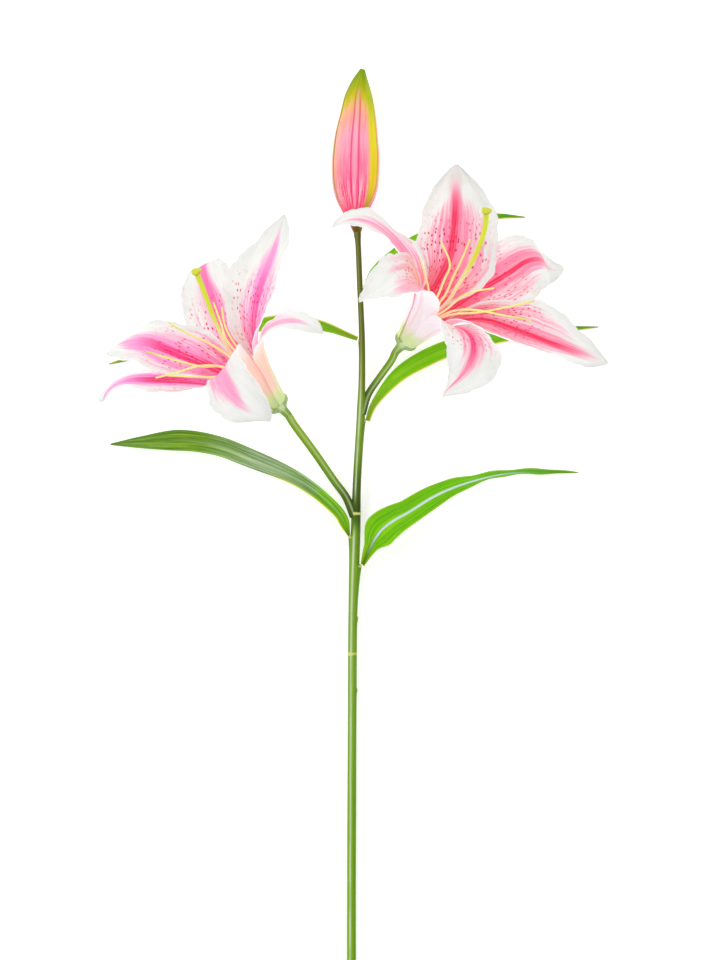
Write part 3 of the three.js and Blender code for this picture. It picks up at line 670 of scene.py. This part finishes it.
def bud_material():
    """Pink skin with a green tip, two dark lines beside each keel and a yellow band at one seam."""
    bench = Skin("bud_skin", 0.38, 0.12)
    off_keel, share, around = bench.split(bench.read("bud"))
    aside = bench.amount(off_keel)
    lines, fine = bench.streaks(bench.read("grain"), (0.9, 0.03), (2.4, 0.05))
    sooner = bench.times(bench.reckon("POWER", aside, 2.0), 3.4e-5)
    higher = bench.sum(bench.sum(share, sooner), bench.times(lines, 0.04))
    skin = bench.ramp(higher, BUD_PINK)
    below_tip = bench.fall(higher, 0.78, 0.86)
    low = bench.fall(share, 0.1, 0.5)
    skin = bench.tint(skin, "ff7aa4", lines, bench.swing(low, 0, 1, 0.3, 0.8))
    outer = bench.swing(bench.amount(around), 22.0, 70.0, 0, 0.75)
    skin = bench.wash(skin, "fcb48c", outer, below_tip, bench.swing(share, 0.12, 0.3))
    skin = bench.wash(skin, "dc2456", bench.fall(around, -58.0, -16.0), bench.fall(share, 0.16, 0.45),
                      bench.swing(share, 0.12, 0.2, 0, 0.7))
    # Pale painted highlights along the fine streaks, strongest low down, none at the stalk or the tip.
    skin = bench.wash(skin, "ffe0e8", bench.swing(fine, 0.5, 0.85), bench.swing(low, 0, 1, 0.3, 0.9),
                      bench.swing(share, 0.1, 0.2), below_tip)
    pair = bench.swing(bench.apart(aside, RIDGE_AT), 0.5, 3.2, 0.75, 0)
    above_low = bench.times(bench.fall(share, 0.78, 0.92), bench.swing(share, 0.12, 0.18))
    skin = bench.wash(skin, "ea3a74", pair, above_low)
    keel = bench.swing(aside, 1.5, 5, 0.45, 0)
    skin = bench.wash(skin, "ffb4c6", keel, above_low)
    band = bench.times(bench.swing(around, BAND[0] - 10.0, BAND[0] + 8.0),
                       bench.fall(around, BAND[1] - 1.0, BAND[1] + 1.0))
    green = bench.ramp(share, BAND_YELLOW)
    green = bench.tint(green, "d8d43a", lines, 0.3)
    skin = bench.mix(skin, green, band)
    for seam_at, wide, dark in DARK_SEAMS:
        off_seam = bench.apart(around, seam_at)
        skin = bench.wash(skin, dark, bench.swing(off_seam, 0.3 * wide, wide, 0.85, 0))
    bench.show(skin, 0.14)
    bench.surface(Roughness=bench.swing(lines, 0, 1, 0.32, 0.48))
    bench.stand_out(bench.sum(lines, fine), 0.0002, 0.6)
    return bench.made


bud = stalk_piece("lily_bud", BUD, sides=216, steps=240, swell=bud_swell)
places = (np.array([v.co for v in bud.data.vertices]) - CUT_END) * 1000
middles = np.array([p[:3] for p in BUD])
centre_x, centre_z = (np.interp(places[:, 1], middles[:, 1], middles[:, i]) for i in (0, 2))
angle = np.arctan2(places[:, 2] - centre_z, places[:, 0] - centre_x)
share = (places[:, 1] - BUD[0][1]) / (BUD[-1][1] - BUD[0][1])
around = turned_by(-angle, -90)
mark(bud, "bud", stacked(from_keel(angle), share, around))
bud.data.materials.append(bud_material())
done(bud, "bud", "bud")


# The petals and sepals of the two blooms
# An open flower has three wide petals and, outside them, three narrower sepals. They form a tube at
# the root, flare and roll back. They are soft and white, with a pink band, veins and raised spots.
TEPAL_THICKNESS = 0.6
ROOT_WIDTH = [(0, 1), (0.1, 1.12)]
TUBE_END = 0.25
PETAL_WIDTH = [(0.42, 0.8), (0.58, 1), (0.72, 0.93), (0.86, 0.61), (0.95, 0.27), (0.985, 0.11), (1, 0.03)]
SEPAL_WIDTH = [(0.42, 0.88), (0.56, 1), (0.72, 0.88), (0.86, 0.58), (0.95, 0.28), (0.985, 0.13), (1, 0.04)]
# How far from the axis each kind starts, its half width there, its share of the full width at the
# end of the tube, and the widths from there to its tip
FORMS = {"petal": (6.2, 5.2, 0.4, PETAL_WIDTH), "sepal": (7.8, 7, 0.58, SEPAL_WIDTH)}
BLUNT_AT, BLUNT_REACH = 0.8, 0.2
GROOVE_DEPTH, GROOVE_HALF = 0.75, 1.5
CUP_GROWS = [(0, 0), (0.35, 0), (0.6, 1), (1, 1)]
STRIDES = 288
TEPAL_ROWS = 145
TEPAL_COLUMNS = 45


def tepal_run(bloom, t, u):
    """Directions along, across and into the bloom at the shares u of a petal's length."""
    tube_lean, throat, flare, bend, tip = t["lean"]
    throat_at, twist = t["throat_at"], t["twist"]
    at_bend, swerve = t["swerve"]
    leans = [(0, 14), (0.18, tube_lean), (throat_at, throat), (throat_at + 0.18, flare),
             (throat_at + 0.4, bend), (1, tip)]
    lean = np.radians(follow(leans, u))[:, None]
    aside = np.radians(follow([(0, 0), (0.3, 0), (0.65, at_bend), (1, swerve)], u))[:, None]
    turn = np.radians(follow([(0, 0), (0.3, 0), (0.65, twist / 2), (1, twist)], u))[:, None]
    round_axis = math.radians(t["azimuth"])
    out = bloom.under * math.cos(round_axis) + bloom.left * math.sin(round_axis)
    over = np.cross(bloom.axis, out)
    along = bloom.axis * np.cos(lean) + (out * np.cos(aside) + over * np.sin(aside)) * np.sin(lean)
    side = over * np.cos(aside) - out * np.sin(aside)
    inward = np.cross(along, side)
    across = side * np.cos(turn) + inward * np.sin(turn)
    return lean, out, along, across, inward * np.cos(turn) - side * np.sin(turn)


def tepal_places(bloom, t):
    """A petal's middle sheet, with what its material reads."""
    ring, root, narrow, shares = FORMS[t["node"].split("_")[0]]
    length = t["length"]
    strides = (np.arange(STRIDES) + 0.5) / STRIDES
    _, out, along, _, _ = tepal_run(bloom, t, strides)
    start = bloom.base + out * ring
    middle = np.vstack([start, start + np.cumsum(along * length / STRIDES, axis=0)])
    middle = middle[:: STRIDES // (TEPAL_ROWS - 1)]
    u = np.linspace(0, 1, TEPAL_ROWS)
    v = np.linspace(-1, 1, TEPAL_COLUMNS)[None]
    lean, _, _, across, inward = tepal_run(bloom, t, u)
    sides = []
    for half, more, tube_share in zip(t["half"], t.get("blunt", (0, 0)), t.get("tube", (narrow, narrow))):
        widths = [(at, root * share) for at, share in ROOT_WIDTH] + [(TUBE_END, half * tube_share)]
        for at, share in shares:
            fuller = more * max(0, 1 - abs(at - BLUNT_AT) / BLUNT_REACH)
            widths.append((at, half * (share + fuller)))
        sides.append(follow(widths, u)[:, None])
    grown = smooth(u, 0.25, 0.55)[:, None]
    ending = np.minimum((1 - u) / 0.12, 1)[:, None]
    turns = 2 * np.pi * u[:, None]
    lag = 1.9 * (v > 0)
    notched = 0.016 * np.sin(7.3 * turns + 3 * lag + t["azimuth"])
    notched = notched + 0.012 * np.sin(16.7 * turns + 5 * lag)
    wide = np.where(v > 0, sides[1], sides[0]) * (1 + notched * grown * ending)
    reach = np.linalg.norm(np.cross(middle - bloom.base, bloom.axis), axis=1)[:, None]
    hug = (1 - smooth(u, 0.35, 0.65))[:, None] * np.cos(lean) / reach
    (cup, other_cup), (half, other_half) = t["cup"], t["half"]
    curl = np.where(v > 0, other_cup / other_half, cup / half) * follow(CUP_GROWS, u)[:, None]
    bow = hug + curl
    bow = np.where(np.abs(bow) < 1e-6, 1e-6, bow)
    wave = 1.2 * np.abs(v) ** 2.5 * np.sin(3 * turns + lag)
    ruffle = 0.55 * np.abs(v) ** 5 * np.sin(8.5 * turns + 2.3 * lag + t["azimuth"])
    ruffle = ruffle + 0.3 * np.abs(v) ** 8 * np.sin(21 * turns + 4 * lag)
    runs_out = (1 - smooth(u, 0.6, 0.92))[:, None]
    groove = GROOVE_DEPTH * np.exp(-(v * wide / GROOVE_HALF) ** 2) * smooth(u, 0.06, 0.25)[:, None]
    lift = (1 - np.cos(v * wide * bow)) / bow + grown * ending * (wave + ruffle) - groove * runs_out
    sweep = np.sin(v * wide * bow) / bow
    places = middle[:, None] + across[:, None] * sweep[..., None] + inward[:, None] * lift[..., None]
    places[..., 2] = np.maximum(places[..., 2], 0.5 * TEPAL_THICKNESS)
    vein = stacked(v * np.where(v > 0, other_half, half), length * u[:, None], t["azimuth"])
    return places, stacked(v, u[:, None], wide), vein


# The markings of an inner face, on white skin with fine veins and crumpled sides, greyed there by painted
# shade
MARKINGS, bench, given = effect("petal_markings", [
    ("Petal", "vector"), ("Vein", "vector"), ("Band place", "value"), ("Band width", "value"),
    ("Band end", "value"), ("Blush before", "value"), ("Blush after", "value"), ("Blush end", "value"),
    ("Rim", "value"), ("Spots", "value"), ("Spots end", "value"), ("Pink", "colour"), ("Core", "colour"),
    ("Throat", "colour"), ("Throat end", "value")], [("Colour", "colour"), ("Height", "value")])
v, u, wide = bench.split(given["Petal"])
veins = bench.split(given["Vein"])
coarse, fine, wisps, cloud, blots = bench.streaks(
    given["Vein"], (0.75, 0.022), (1.9, 0.04), (0.26, 0.016), (0.1, 0.05), (0.4, 0.3))
aside = bench.amount(v)
white = bench.wash(colour("f8f8f4"), "eaeee6", cloud)
white = bench.wash(white, "e9dde0", fine, 0.25)
crumple = bench.times(blots, bench.swing(aside, 0.4, 0.95))
# Grey painted shade on the crumples of the sides.
white = bench.wash(white, "e2e4e4", crumple, 0.3)

# A blush that fills the throat and narrows to a flame beside the band, paler and in streaks outwards
off = bench.apart(v, given["Band place"])
past = bench.reckon("GREATER_THAN", v, given["Band place"])
side = bench.put("ShaderNodeMix", past, data_type="FLOAT")
bench.feed(side.inputs[2], given["Blush before"])
bench.feed(side.inputs[3], given["Blush after"])
left_over = bench.put("ShaderNodeMapRange", u, 0.28, given["Blush end"], 1.0, 0.0).outputs[0]
flame = bench.times(bench.reckon("POWER", left_over, 1.2), side.outputs[0])
reach = bench.sum(bench.times(flame, 2.1), 0.03)
uneven = bench.sum(bench.times(bench.less(wisps, 0.5), 0.7), bench.times(bench.less(coarse, 0.5), 0.55))
outwards = bench.sum(bench.over(off, reach), uneven)
blush = bench.fall(outwards, 0.2, 1.2)
free = bench.sum(bench.less(1.0, given["Rim"]), bench.times(bench.less(wisps, 0.5), 0.16))
inside_rim = bench.swing(bench.less(free, aside), -0.02, 0.09)
blush = bench.times(blush, inside_rim, bench.swing(left_over, 0.0, 0.25))
pale = bench.wash(given["Pink"], "ffe9ef", 0.45)
tone = bench.mix(pale, given["Pink"], bench.fall(outwards, 0.0, 0.75))
tone = bench.mix(tone, given["Throat"], bench.fall(u, 0.24, given["Throat end"]))
tone = bench.wash(tone, "ffd4de", fine, 0.32)
tone = bench.tint(tone, "ff94be", coarse, 0.35)
shown = bench.mix(white, tone, blush)

# The band, deepest low down, with a paler line along its middle
across = bench.times(off, wide)
half_band = bench.times(given["Band width"], bench.swing(u, 0.1, 0.4, 0.5, 1))
within = bench.sum(bench.over(across, half_band), bench.times(uneven, 0.8))
ending = bench.fall(u, bench.less(given["Band end"], 0.22), given["Band end"])
fading = bench.fall(u, bench.less(given["Band end"], 0.15), bench.sum(given["Band end"], 0.08))
glow = bench.times(bench.fall(within, 0.9, 2.6), fading)
shown = bench.mix(shown, given["Pink"], glow, 0.75)
core = bench.times(bench.fall(within, 0.5, 1.3), ending)
band = bench.wash(given["Core"], "ea0c4a", bench.fall(u, 0.2, 0.62))
band = bench.mix(band, given["Pink"], fine, 0.3)
middle = bench.times(bench.fall(across, 0.15, 0.8), bench.fall(u, 0.4, 0.7))
band = bench.mix(band, given["Pink"], middle, 0.6)
shown = bench.mix(shown, band, core)

# Raised spots in rows along the veins
row = bench.sum(bench.times(veins[0], 0.36), veins[2])
rows = bench.put("ShaderNodeCombineXYZ", row, bench.times(veins[1], 0.2)).outputs[0]
cells = bench.put("ShaderNodeTexVoronoi", voronoi_dimensions="2D")
bench.fill(cells, Vector=rows, Scale=1, Randomness=0.85)
size = bench.split(cells.outputs["Color"])
dots = bench.times(bench.fall(cells.outputs["Distance"], 0.14, 0.28), bench.swing(size[0], 0.3, 0.6))
before_end = bench.fall(u, bench.less(given["Spots end"], 0.2), given["Spots end"])
where = bench.times(bench.fall(aside, 0.7, 0.92), bench.swing(u, 0.15, 0.24), before_end)
dots = bench.times(dots, where, given["Spots"])
shown = bench.wash(shown, "ec2058", dots)
shown = bench.wash(shown, "e4e6c4", bench.swing(u, 0.97, 1.0, 0, 0.3))
height = bench.sum(bench.times(bench.sum(coarse, fine), 0.14), bench.times(dots, 0.35))
height = bench.sum(height, bench.times(crumple, 0.5))
bench.put("NodeGroupOutput", shown, height)


def petal_inside(name, band, blush, rim=0.08, spots=1.0, spots_end=0.75, pink="ff8db0", core="ff3f74",
                 throat="fb8a9a", throat_end=0.52):
    """The marked inner face of a petal or sepal.

    Its band is a place across it, a width and an end, and its blush a width before the band, a width
    after it and an end.
    """
    bench = Skin(name, 0.55, 0.2)
    places = bench.read("petal"), bench.read("vein")
    tones = [colour(code) for code in (pink, core, throat)]
    marks = bench.use(MARKINGS, *places, *band, *blush, rim, spots, spots_end, *tones, throat_end)
    bench.show(marks[0], 0.12)
    bench.soften()
    bench.stand_out(marks[1], 0.0009, 0.9)
    return bench.made


def petal_outside(name, root, low, rest, rib_low, rib_high):
    """The paler outer face: green at the root, with a coloured rib."""
    bench = Skin(name, 0.5, 0.25)
    v, u, wide = bench.split(bench.read("petal"))
    coarse, fine = bench.streaks(bench.read("vein"), (0.75, 0.022), (2.0, 0.04))
    shown = bench.ramp(u, [(0, root), (0.06, root), (0.17, low), (0.32, low), (0.58, rest), (1, rest)])
    shown = bench.tint(shown, "f4dde4", coarse, 0.3)
    shown = bench.wash(shown, "ffffff", fine, 0.2)
    from_rib = bench.times(bench.amount(v), wide)
    rib = bench.swing(from_rib, 0.4, 2.2, 0.8, 0)
    ribbed = bench.ramp(u, [(0, root), (0.12, rib_low), (0.5, rib_high), (1, rest)])
    shown = bench.mix(shown, ribbed, rib)
    # A strong painted glow lightens these outer faces where the tube lies in shade.
    bench.show(shown, 0.3)
    bench.soften()
    bench.stand_out(bench.sum(coarse, fine), 0.0003, 0.8)
    return bench.made


OUTSIDE = petal_outside("petal_outside", "cfe69c", "f8ecf4", "fdf8fb", "f6d2d2", "f8d2de")
PEACH_OUTSIDE = petal_outside("peach_petal_outside", "c8e090", "fac8b4", "fdf0ee", "dce4b4", "fad0c0")

# The left bloom's pinks, which are colder
LILAC = dict(pink="ff8fd0", core="ff3f92", throat="ff6fb0")

# Each one's degrees round the axis, length, half width and cupping on both sides, its lean away from
# the axis in the tube, in the throat, at the flare, at the bend and at the tip, its swerve at bend and
# tip, its twist and its markings, and on some a wider tube, a blunter tip or another back
LEFT_TEPALS = [
    dict(node="petal_left", azimuth=43, length=146, half=(27.5, 29), cup=(-0.3, 0.15),
         lean=(13, 33, 39, 85, 116), throat_at=0.4, swerve=(-5, 0), twist=16,
         look=dict(LILAC, band=(0.08, 4.6, 0.8), blush=(0.75, 1, 0.97), spots=0.8, pink="ff98d6",
                   core="f81878", throat="f8348c")),
    dict(node="petal_up", azimuth=-90, length=142, half=(32, 37), cup=(0.55, 0.5),
         lean=(14, 28, 58, 71, 62), throat_at=0.34, swerve=(20, 21), twist=1,
         look=dict(LILAC, band=(0.06, 4, 0.8), blush=(0.8, 0.42, 1), rim=0.03, pink="ff9edc",
                   core="ff64b0")),
    dict(node="petal_near", azimuth=165, length=128, half=(20.5, 19), cup=(0.4, 0.05),
         lean=(17, 25, 120, 154, 200), throat_at=0.46, swerve=(3, 48), twist=54,
         tube=(0.62, 0.62), blunt=(0.45, 0.05),
         look=dict(LILAC, band=(-0.35, 3, 0.3), blush=(0.6, 0.7, 0.93), spots=0, pink="ffa6d0",
                   throat="fbd3dc"), outside=PEACH_OUTSIDE),
    dict(node="sepal_up", azimuth=-21, length=130, half=(24, 29), cup=(0, -0.15),
         lean=(15, 26, 39, 48, 150), throat_at=0.32, swerve=(-13, 16), twist=10,
         look=dict(LILAC, band=(0.1, 2.8, 1.05), blush=(0.5, 0.45, 1.04), spots=1.1, pink="ffa0d0",
                   core="ff78b4", throat="f8a0bc")),
    dict(node="sepal_low", azimuth=90, length=140, half=(24, 28.5), cup=(-0.85, 0.35),
         lean=(18, 28, 40, 53, 94), throat_at=0.34, swerve=(-20, 65), twist=-5,
         look=dict(LILAC, band=(0.12, 4.6, 0.86), blush=(0.5, 0.6, 1.2), rim=0.03, spots=0.6,
                   pink="ff94de", core="e4005c", throat="f01480")),
    dict(node="sepal_right", azimuth=-127, length=119, half=(14, 21.5), cup=(-0.05, -0.3),
         lean=(17, 28, 67, 112, 137), throat_at=0.39, swerve=(-7, -38), twist=-25,
         look=dict(LILAC, band=(0, 1.6, 0.3), blush=(1, 0.9, 0.97), spots=0, pink="fbaed4"),
         outside=PEACH_OUTSIDE),
]
RIGHT_TEPALS = [
    dict(node="petal_top", azimuth=42, length=134, half=(37, 29), cup=(-0.25, -1.45),
         lean=(12, 17, 53, 56, 41), throat_at=0.41, swerve=(4, 24), twist=-34,
         look=dict(band=(0, 2.3, 0.92), blush=(1.1, 0.85, 0.94), spots_end=0.8, core="f8084a",
                   throat="fc4878")),
    dict(node="petal_low", azimuth=-95, length=156, half=(35, 33), cup=(0.8, 0.55),
         lean=(17, 38, 71, 74, 74), throat_at=0.33, swerve=(23, 21), twist=5,
         look=dict(band=(0, 3.6, 0.92), blush=(0.8, 1, 1), core="f8104c", throat="f42c5c",
                   throat_end=0.6)),
    dict(node="petal_near", azimuth=152, length=119, half=(29.5, 20), cup=(1.15, 0),
         lean=(15, 30, 59, 127, 104), throat_at=0.36, swerve=(-6, 11), twist=57, tube=(0.72, 0.5),
         look=dict(band=(0.6, 4, 0.3), blush=(3.2, 2, 0.84), rim=0, pink="fbb4cc", throat="fcbca0",
                   throat_end=0.86, spots_end=0.74)),
    dict(node="sepal_right", azimuth=-28, length=142, half=(28, 27), cup=(0, -0.45),
         lean=(19, 40, 26, 123, 38), throat_at=0.46, swerve=(-4, -11), twist=19,
         look=dict(band=(0, 2.3, 0.88), blush=(0.75, 0.85, 0.98), spots=0.7, core="fa1454",
                   throat="fa4470")),
    dict(node="sepal_near", azimuth=-135, length=131, half=(21.5, 24), cup=(0, -0.55),
         lean=(17, 41, 69, 122, 187), throat_at=0.35, swerve=(-13, -76), twist=38,
         look=dict(band=(0, 1.8, 0.84), blush=(0.5, 0.55, 1.1), spots=0.8, core="f83c78")),
    dict(node="sepal_left", azimuth=92, length=133, half=(25, 17), cup=(-0.4, 0.15),
         lean=(16, 33, 69, 86, 171), throat_at=0.32, swerve=(17, 39), twist=9,
         look=dict(band=(0.25, 3, 0.62), blush=(0.9, 0.9, 1), spots=0, pink="ff98c2", core="ff2470")),
]

for bloom, tepals in ((LEFT_BLOOM, LEFT_TEPALS), (RIGHT_BLOOM, RIGHT_TEPALS)):
    for tepal in tepals:
        node = f"{bloom.side}_{tepal['node']}"
        places, petal, vein = tepal_places(bloom, tepal)
        piece = sheet("lily_" + node, places, petal=petal, vein=vein)
        inside = petal_inside(node + "_inside", **tepal["look"])
        thickened(piece, TEPAL_THICKNESS, (tepal.get("outside", OUTSIDE), inside))
        done(piece, node, tepal["node"].split("_")[0])


# The stamens
# Six slender filaments rise from a low collar round the ovary and part above the throat, each
# tapering to a bare point. They are pale yellow and smooth like wax.
COLLAR = [(0.1, 4.2), (0.3, 4.85), (2.2, 4.7), (2.5, 4.3)]
FILAMENT_RADIUS = 0.95
FILAMENT_TAPER = 0.35
# Where they start on the collar and part: height, and distance from the flower's axis
FILAMENT_ROOT = [(1.3, 4.2), (20, 4.8)]
# Degrees round the axis at the root, and then places along, left of and above the axis
LEFT_FILAMENTS = [
    (-80, [(49, 1, -4), (70, 5, -3), (88, 11, 0), (105, 15, 3)]),
    (-20, [(49, 9, -1), (63, 20, 2), (91, 34, 7), (104, 40, 10)]),
    (50, [(51, 9, 5), (67, 20, 9), (78, 35, 13), (88, 48, 17)]),
    (15, [(44, 12, 5), (58, 23, 9), (70, 32, 12), (82, 41, 15)]),
    (120, [(49, -4, 6), (70, -6, 11), (82, -11, 13), (97, -17, 13)]),
    (-140, [(50, -7, -3), (66, -10, -3), (75, -14, -3), (83, -19, -2)]),
]
RIGHT_FILAMENTS = [
    (-5, [(37, 6, 1), (48, 13, 6), (64, 30, 12)]),
    (50, [(41, 3, 3), (61, 8, 5), (73, 12, 6), (83, 27, 8)]),
    (-65, [(43, 0, -4), (63, 5, -5), (80, 9, -3), (95, 13, 0)]),
    (105, [(44, -7, 5), (59, -9, 7), (71, -13, 9), (85, -22, 11)]),
    (-150, [(41, -12, 1), (57, -24, 4), (73, -34, 7), (99, -49, 11)]),
    (160, [(43, -9, 8), (57, -15, 15), (69, -24, 21), (80, -37, 25), (95, -56, 28)]),
]


def waxy(name, stops, length, darker, glow):
    """Smooth plant skin whose colour changes along it, with fine lines and a little painted glow."""
    bench = Skin(name, 0.35, 0.25)
    grain = bench.read("grain")
    run = bench.split(grain)[1]
    lines = bench.streaks(grain, (2.2, 0.08))[0]
    skin = bench.ramp(bench.over(run, length), stops)
    skin = bench.tint(skin, darker, lines, 0.5)
    bench.show(skin, glow)
    bench.stand_out(lines, 0.00015, 0.6)
    return bench.made


FILAMENT_SKIN = waxy(
    "filament_skin",
    [(0, "e4ecac"), (0.15, "fff4ec"), (0.35, "fbf8d0"), (0.6, "f0f2a4"), (0.92, "eaee8c"), (1, "dce070")],
    110, "f0f0c0", 0.26)

for bloom, filaments in ((LEFT_BLOOM, LEFT_FILAMENTS), (RIGHT_BLOOM, RIGHT_FILAMENTS)):
    centres = np.array([bloom.at(height, 0, 0) for height, _ in COLLAR])
    parts = [tube("collar", centres, [radius for _, radius in COLLAR], sides=36)]
    for start, points in filaments:
        turn = math.radians(start)
        rooted = [(h, ring * math.cos(turn), ring * math.sin(turn)) for h, ring in FILAMENT_ROOT]
        path = [bloom.at(*p) for p in rooted + points]
        count = len(path) - 1
        thick = [(*p, FILAMENT_RADIUS * (1 - FILAMENT_TAPER * i / count)) for i, p in enumerate(path)]
        parts.append(stalk_piece("filament", thick, sides=14, steps=90))
    piece = joined(parts)
    piece.name = piece.data.name = f"lily_{bloom.side}_stamens"
    piece.data.materials.append(FILAMENT_SKIN)
    done(piece, f"{bloom.side}_stamens", "filament")


# The pistils
# In the middle stands the ovary, six-ribbed and green. From it a long style bends up and ends in
# a flat stigma of three lobes, yellow green and a little brown behind.
# The ovary by height and radius, then the style's radius and its places along, left of and above
# the flower's axis
OVARY = [(-0.05, 1.8), (7, 2.6), (18, 2.6), (24, 1.5)]
STYLE_FROM, STYLE_TO = 1.35, 1.95
LEFT_STYLE = [(52, -1, 0), (83, -9, 6), (108, -18, 11), (123, -23, 14)]
RIGHT_STYLE = [(43, -4, 0), (63, -2, 4), (85, 1, 8), (106, 6, 12), (121, 12, 15), (129, 17, 17)]
STIGMA = [(-1.9, 1.9), (-1, 2.4), (-0.2, 3.2), (0.8, 3.6), (1.5, 3.1), (2, 1.3)]
STYLE_SKIN = waxy(
    "style_skin", [(0, "a9c454"), (0.2, "fff0e0"), (0.42, "fbf2cc"), (0.6, "e2ee48"), (1, "d8ea34")],
    160, "dce07c", 0.18)
STIGMA_SKIN = waxy(
    "stigma_skin", [(0, "c8b04c"), (0.4, "c4a850"), (0.65, "d4d440"), (1, "d4dc3c")], 4, "e0d890", 0.16)


def ovary_ribs(run, angle, radius):
    return 0.1 * radius * np.cos(6 * angle) * smooth(run, 1, 6) * (1 - smooth(run, 15, 24))


def three_lobes(run, angle, radius):
    """The stigma's lobes, parted by notches on its face."""
    share = run / run.max()
    notch = np.exp(-(np.cos(1.5 * angle) / 0.25) ** 2)
    return radius * (0.13 * np.cos(3 * angle) - 0.12 * smooth(share, 0.5, 1) * notch)


for bloom, style in ((LEFT_BLOOM, LEFT_STYLE), (RIGHT_BLOOM, RIGHT_STYLE)):
    points = [(*bloom.at(along, 0, 0), radius) for along, radius in OVARY]
    radii = np.linspace(STYLE_FROM, STYLE_TO, len(style))
    points += [(*bloom.at(*p), radius) for p, radius in zip(style, radii)]
    grown = stalk_piece("style", points, sides=30, steps=220, swell=ovary_ribs)
    grown.data.materials.append(STYLE_SKIN)
    before, end = bloom.at(*style[-2]), bloom.at(*style[-1])
    onward = unit(end - before)
    head = [(*(end + onward * along), radius) for along, radius in STIGMA]
    lobes = stalk_piece("stigma", head, sides=48, steps=30, swell=three_lobes)
    lobes.data.materials.append(STIGMA_SKIN)
    piece = joined([grown, lobes])
    piece.name = piece.data.name = f"lily_{bloom.side}_pistil"
    done(piece, f"{bloom.side}_pistil", "pistil")


# The table, the light and the view
# The flower lies on a plain pale table that is lit a little from below, in soft studio light, seen
# from straight above.
pick()
bpy.ops.mesh.primitive_grid_add(x_subdivisions=8, y_subdivisions=8, size=9, location=(0, 0, 0))
table = bpy.context.object
table.name = "table_top"
table.data.transform(table.matrix_world)
table.matrix_world.identity()
bench = Skin("table_paint", 0.75, 0.1)
place = bench.put("ShaderNodeTexCoord").outputs["Object"]
speckle = bench.fill(bench.put("ShaderNodeTexNoise"), Vector=place, Scale=40)
paint = bench.wash(colour("faf9f8"), "f6f6f4", speckle)
bench.show(paint, 0.44)
table.data.materials.append(bench.made)

world = bpy.data.worlds.new("studio")
world.use_nodes = True
sky = world.node_tree.nodes["Background"]
Bench(world.node_tree).fill(sky, Color=(0.96, 0.98, 1, 1), Strength=0.62)
bpy.context.scene.world = world


def softbox(name, place, size, power):
    """A square lamp with a diffuser, aimed at the flower."""
    bpy.ops.object.light_add(type="AREA", location=place)
    lamp = bpy.context.object
    lamp.name = name
    lamp.data.size = size
    lamp.data.energy = power
    lamp.rotation_euler = (Vector((0, 0.1, 0)) - Vector(place)).to_track_quat("-Z", "Y").to_euler()


softbox("key_light", (-1.3, 1.3, 2.6), 1.8, 27)
softbox("fill_light", (1.8, -0.6, 2.4), 2.2, 12)

# The camera's place from the cut end, and half the height that its picture takes in at its reach
CAMERA_PLACE = (0.0056, 0.357, 2.66)
CAMERA_REACH = 2.6
HALF_PICTURE = 0.336
bpy.ops.object.camera_add(location=CUT_END + CAMERA_PLACE, rotation=(0, 0, 0))
camera = bpy.context.object
camera.name = "overhead_camera"
camera.data.sensor_width = 36
camera.data.lens = 18 * CAMERA_REACH / HALF_PICTURE
bpy.context.scene.camera = camera
bpy.context.scene.view_settings.view_transform = "Standard"
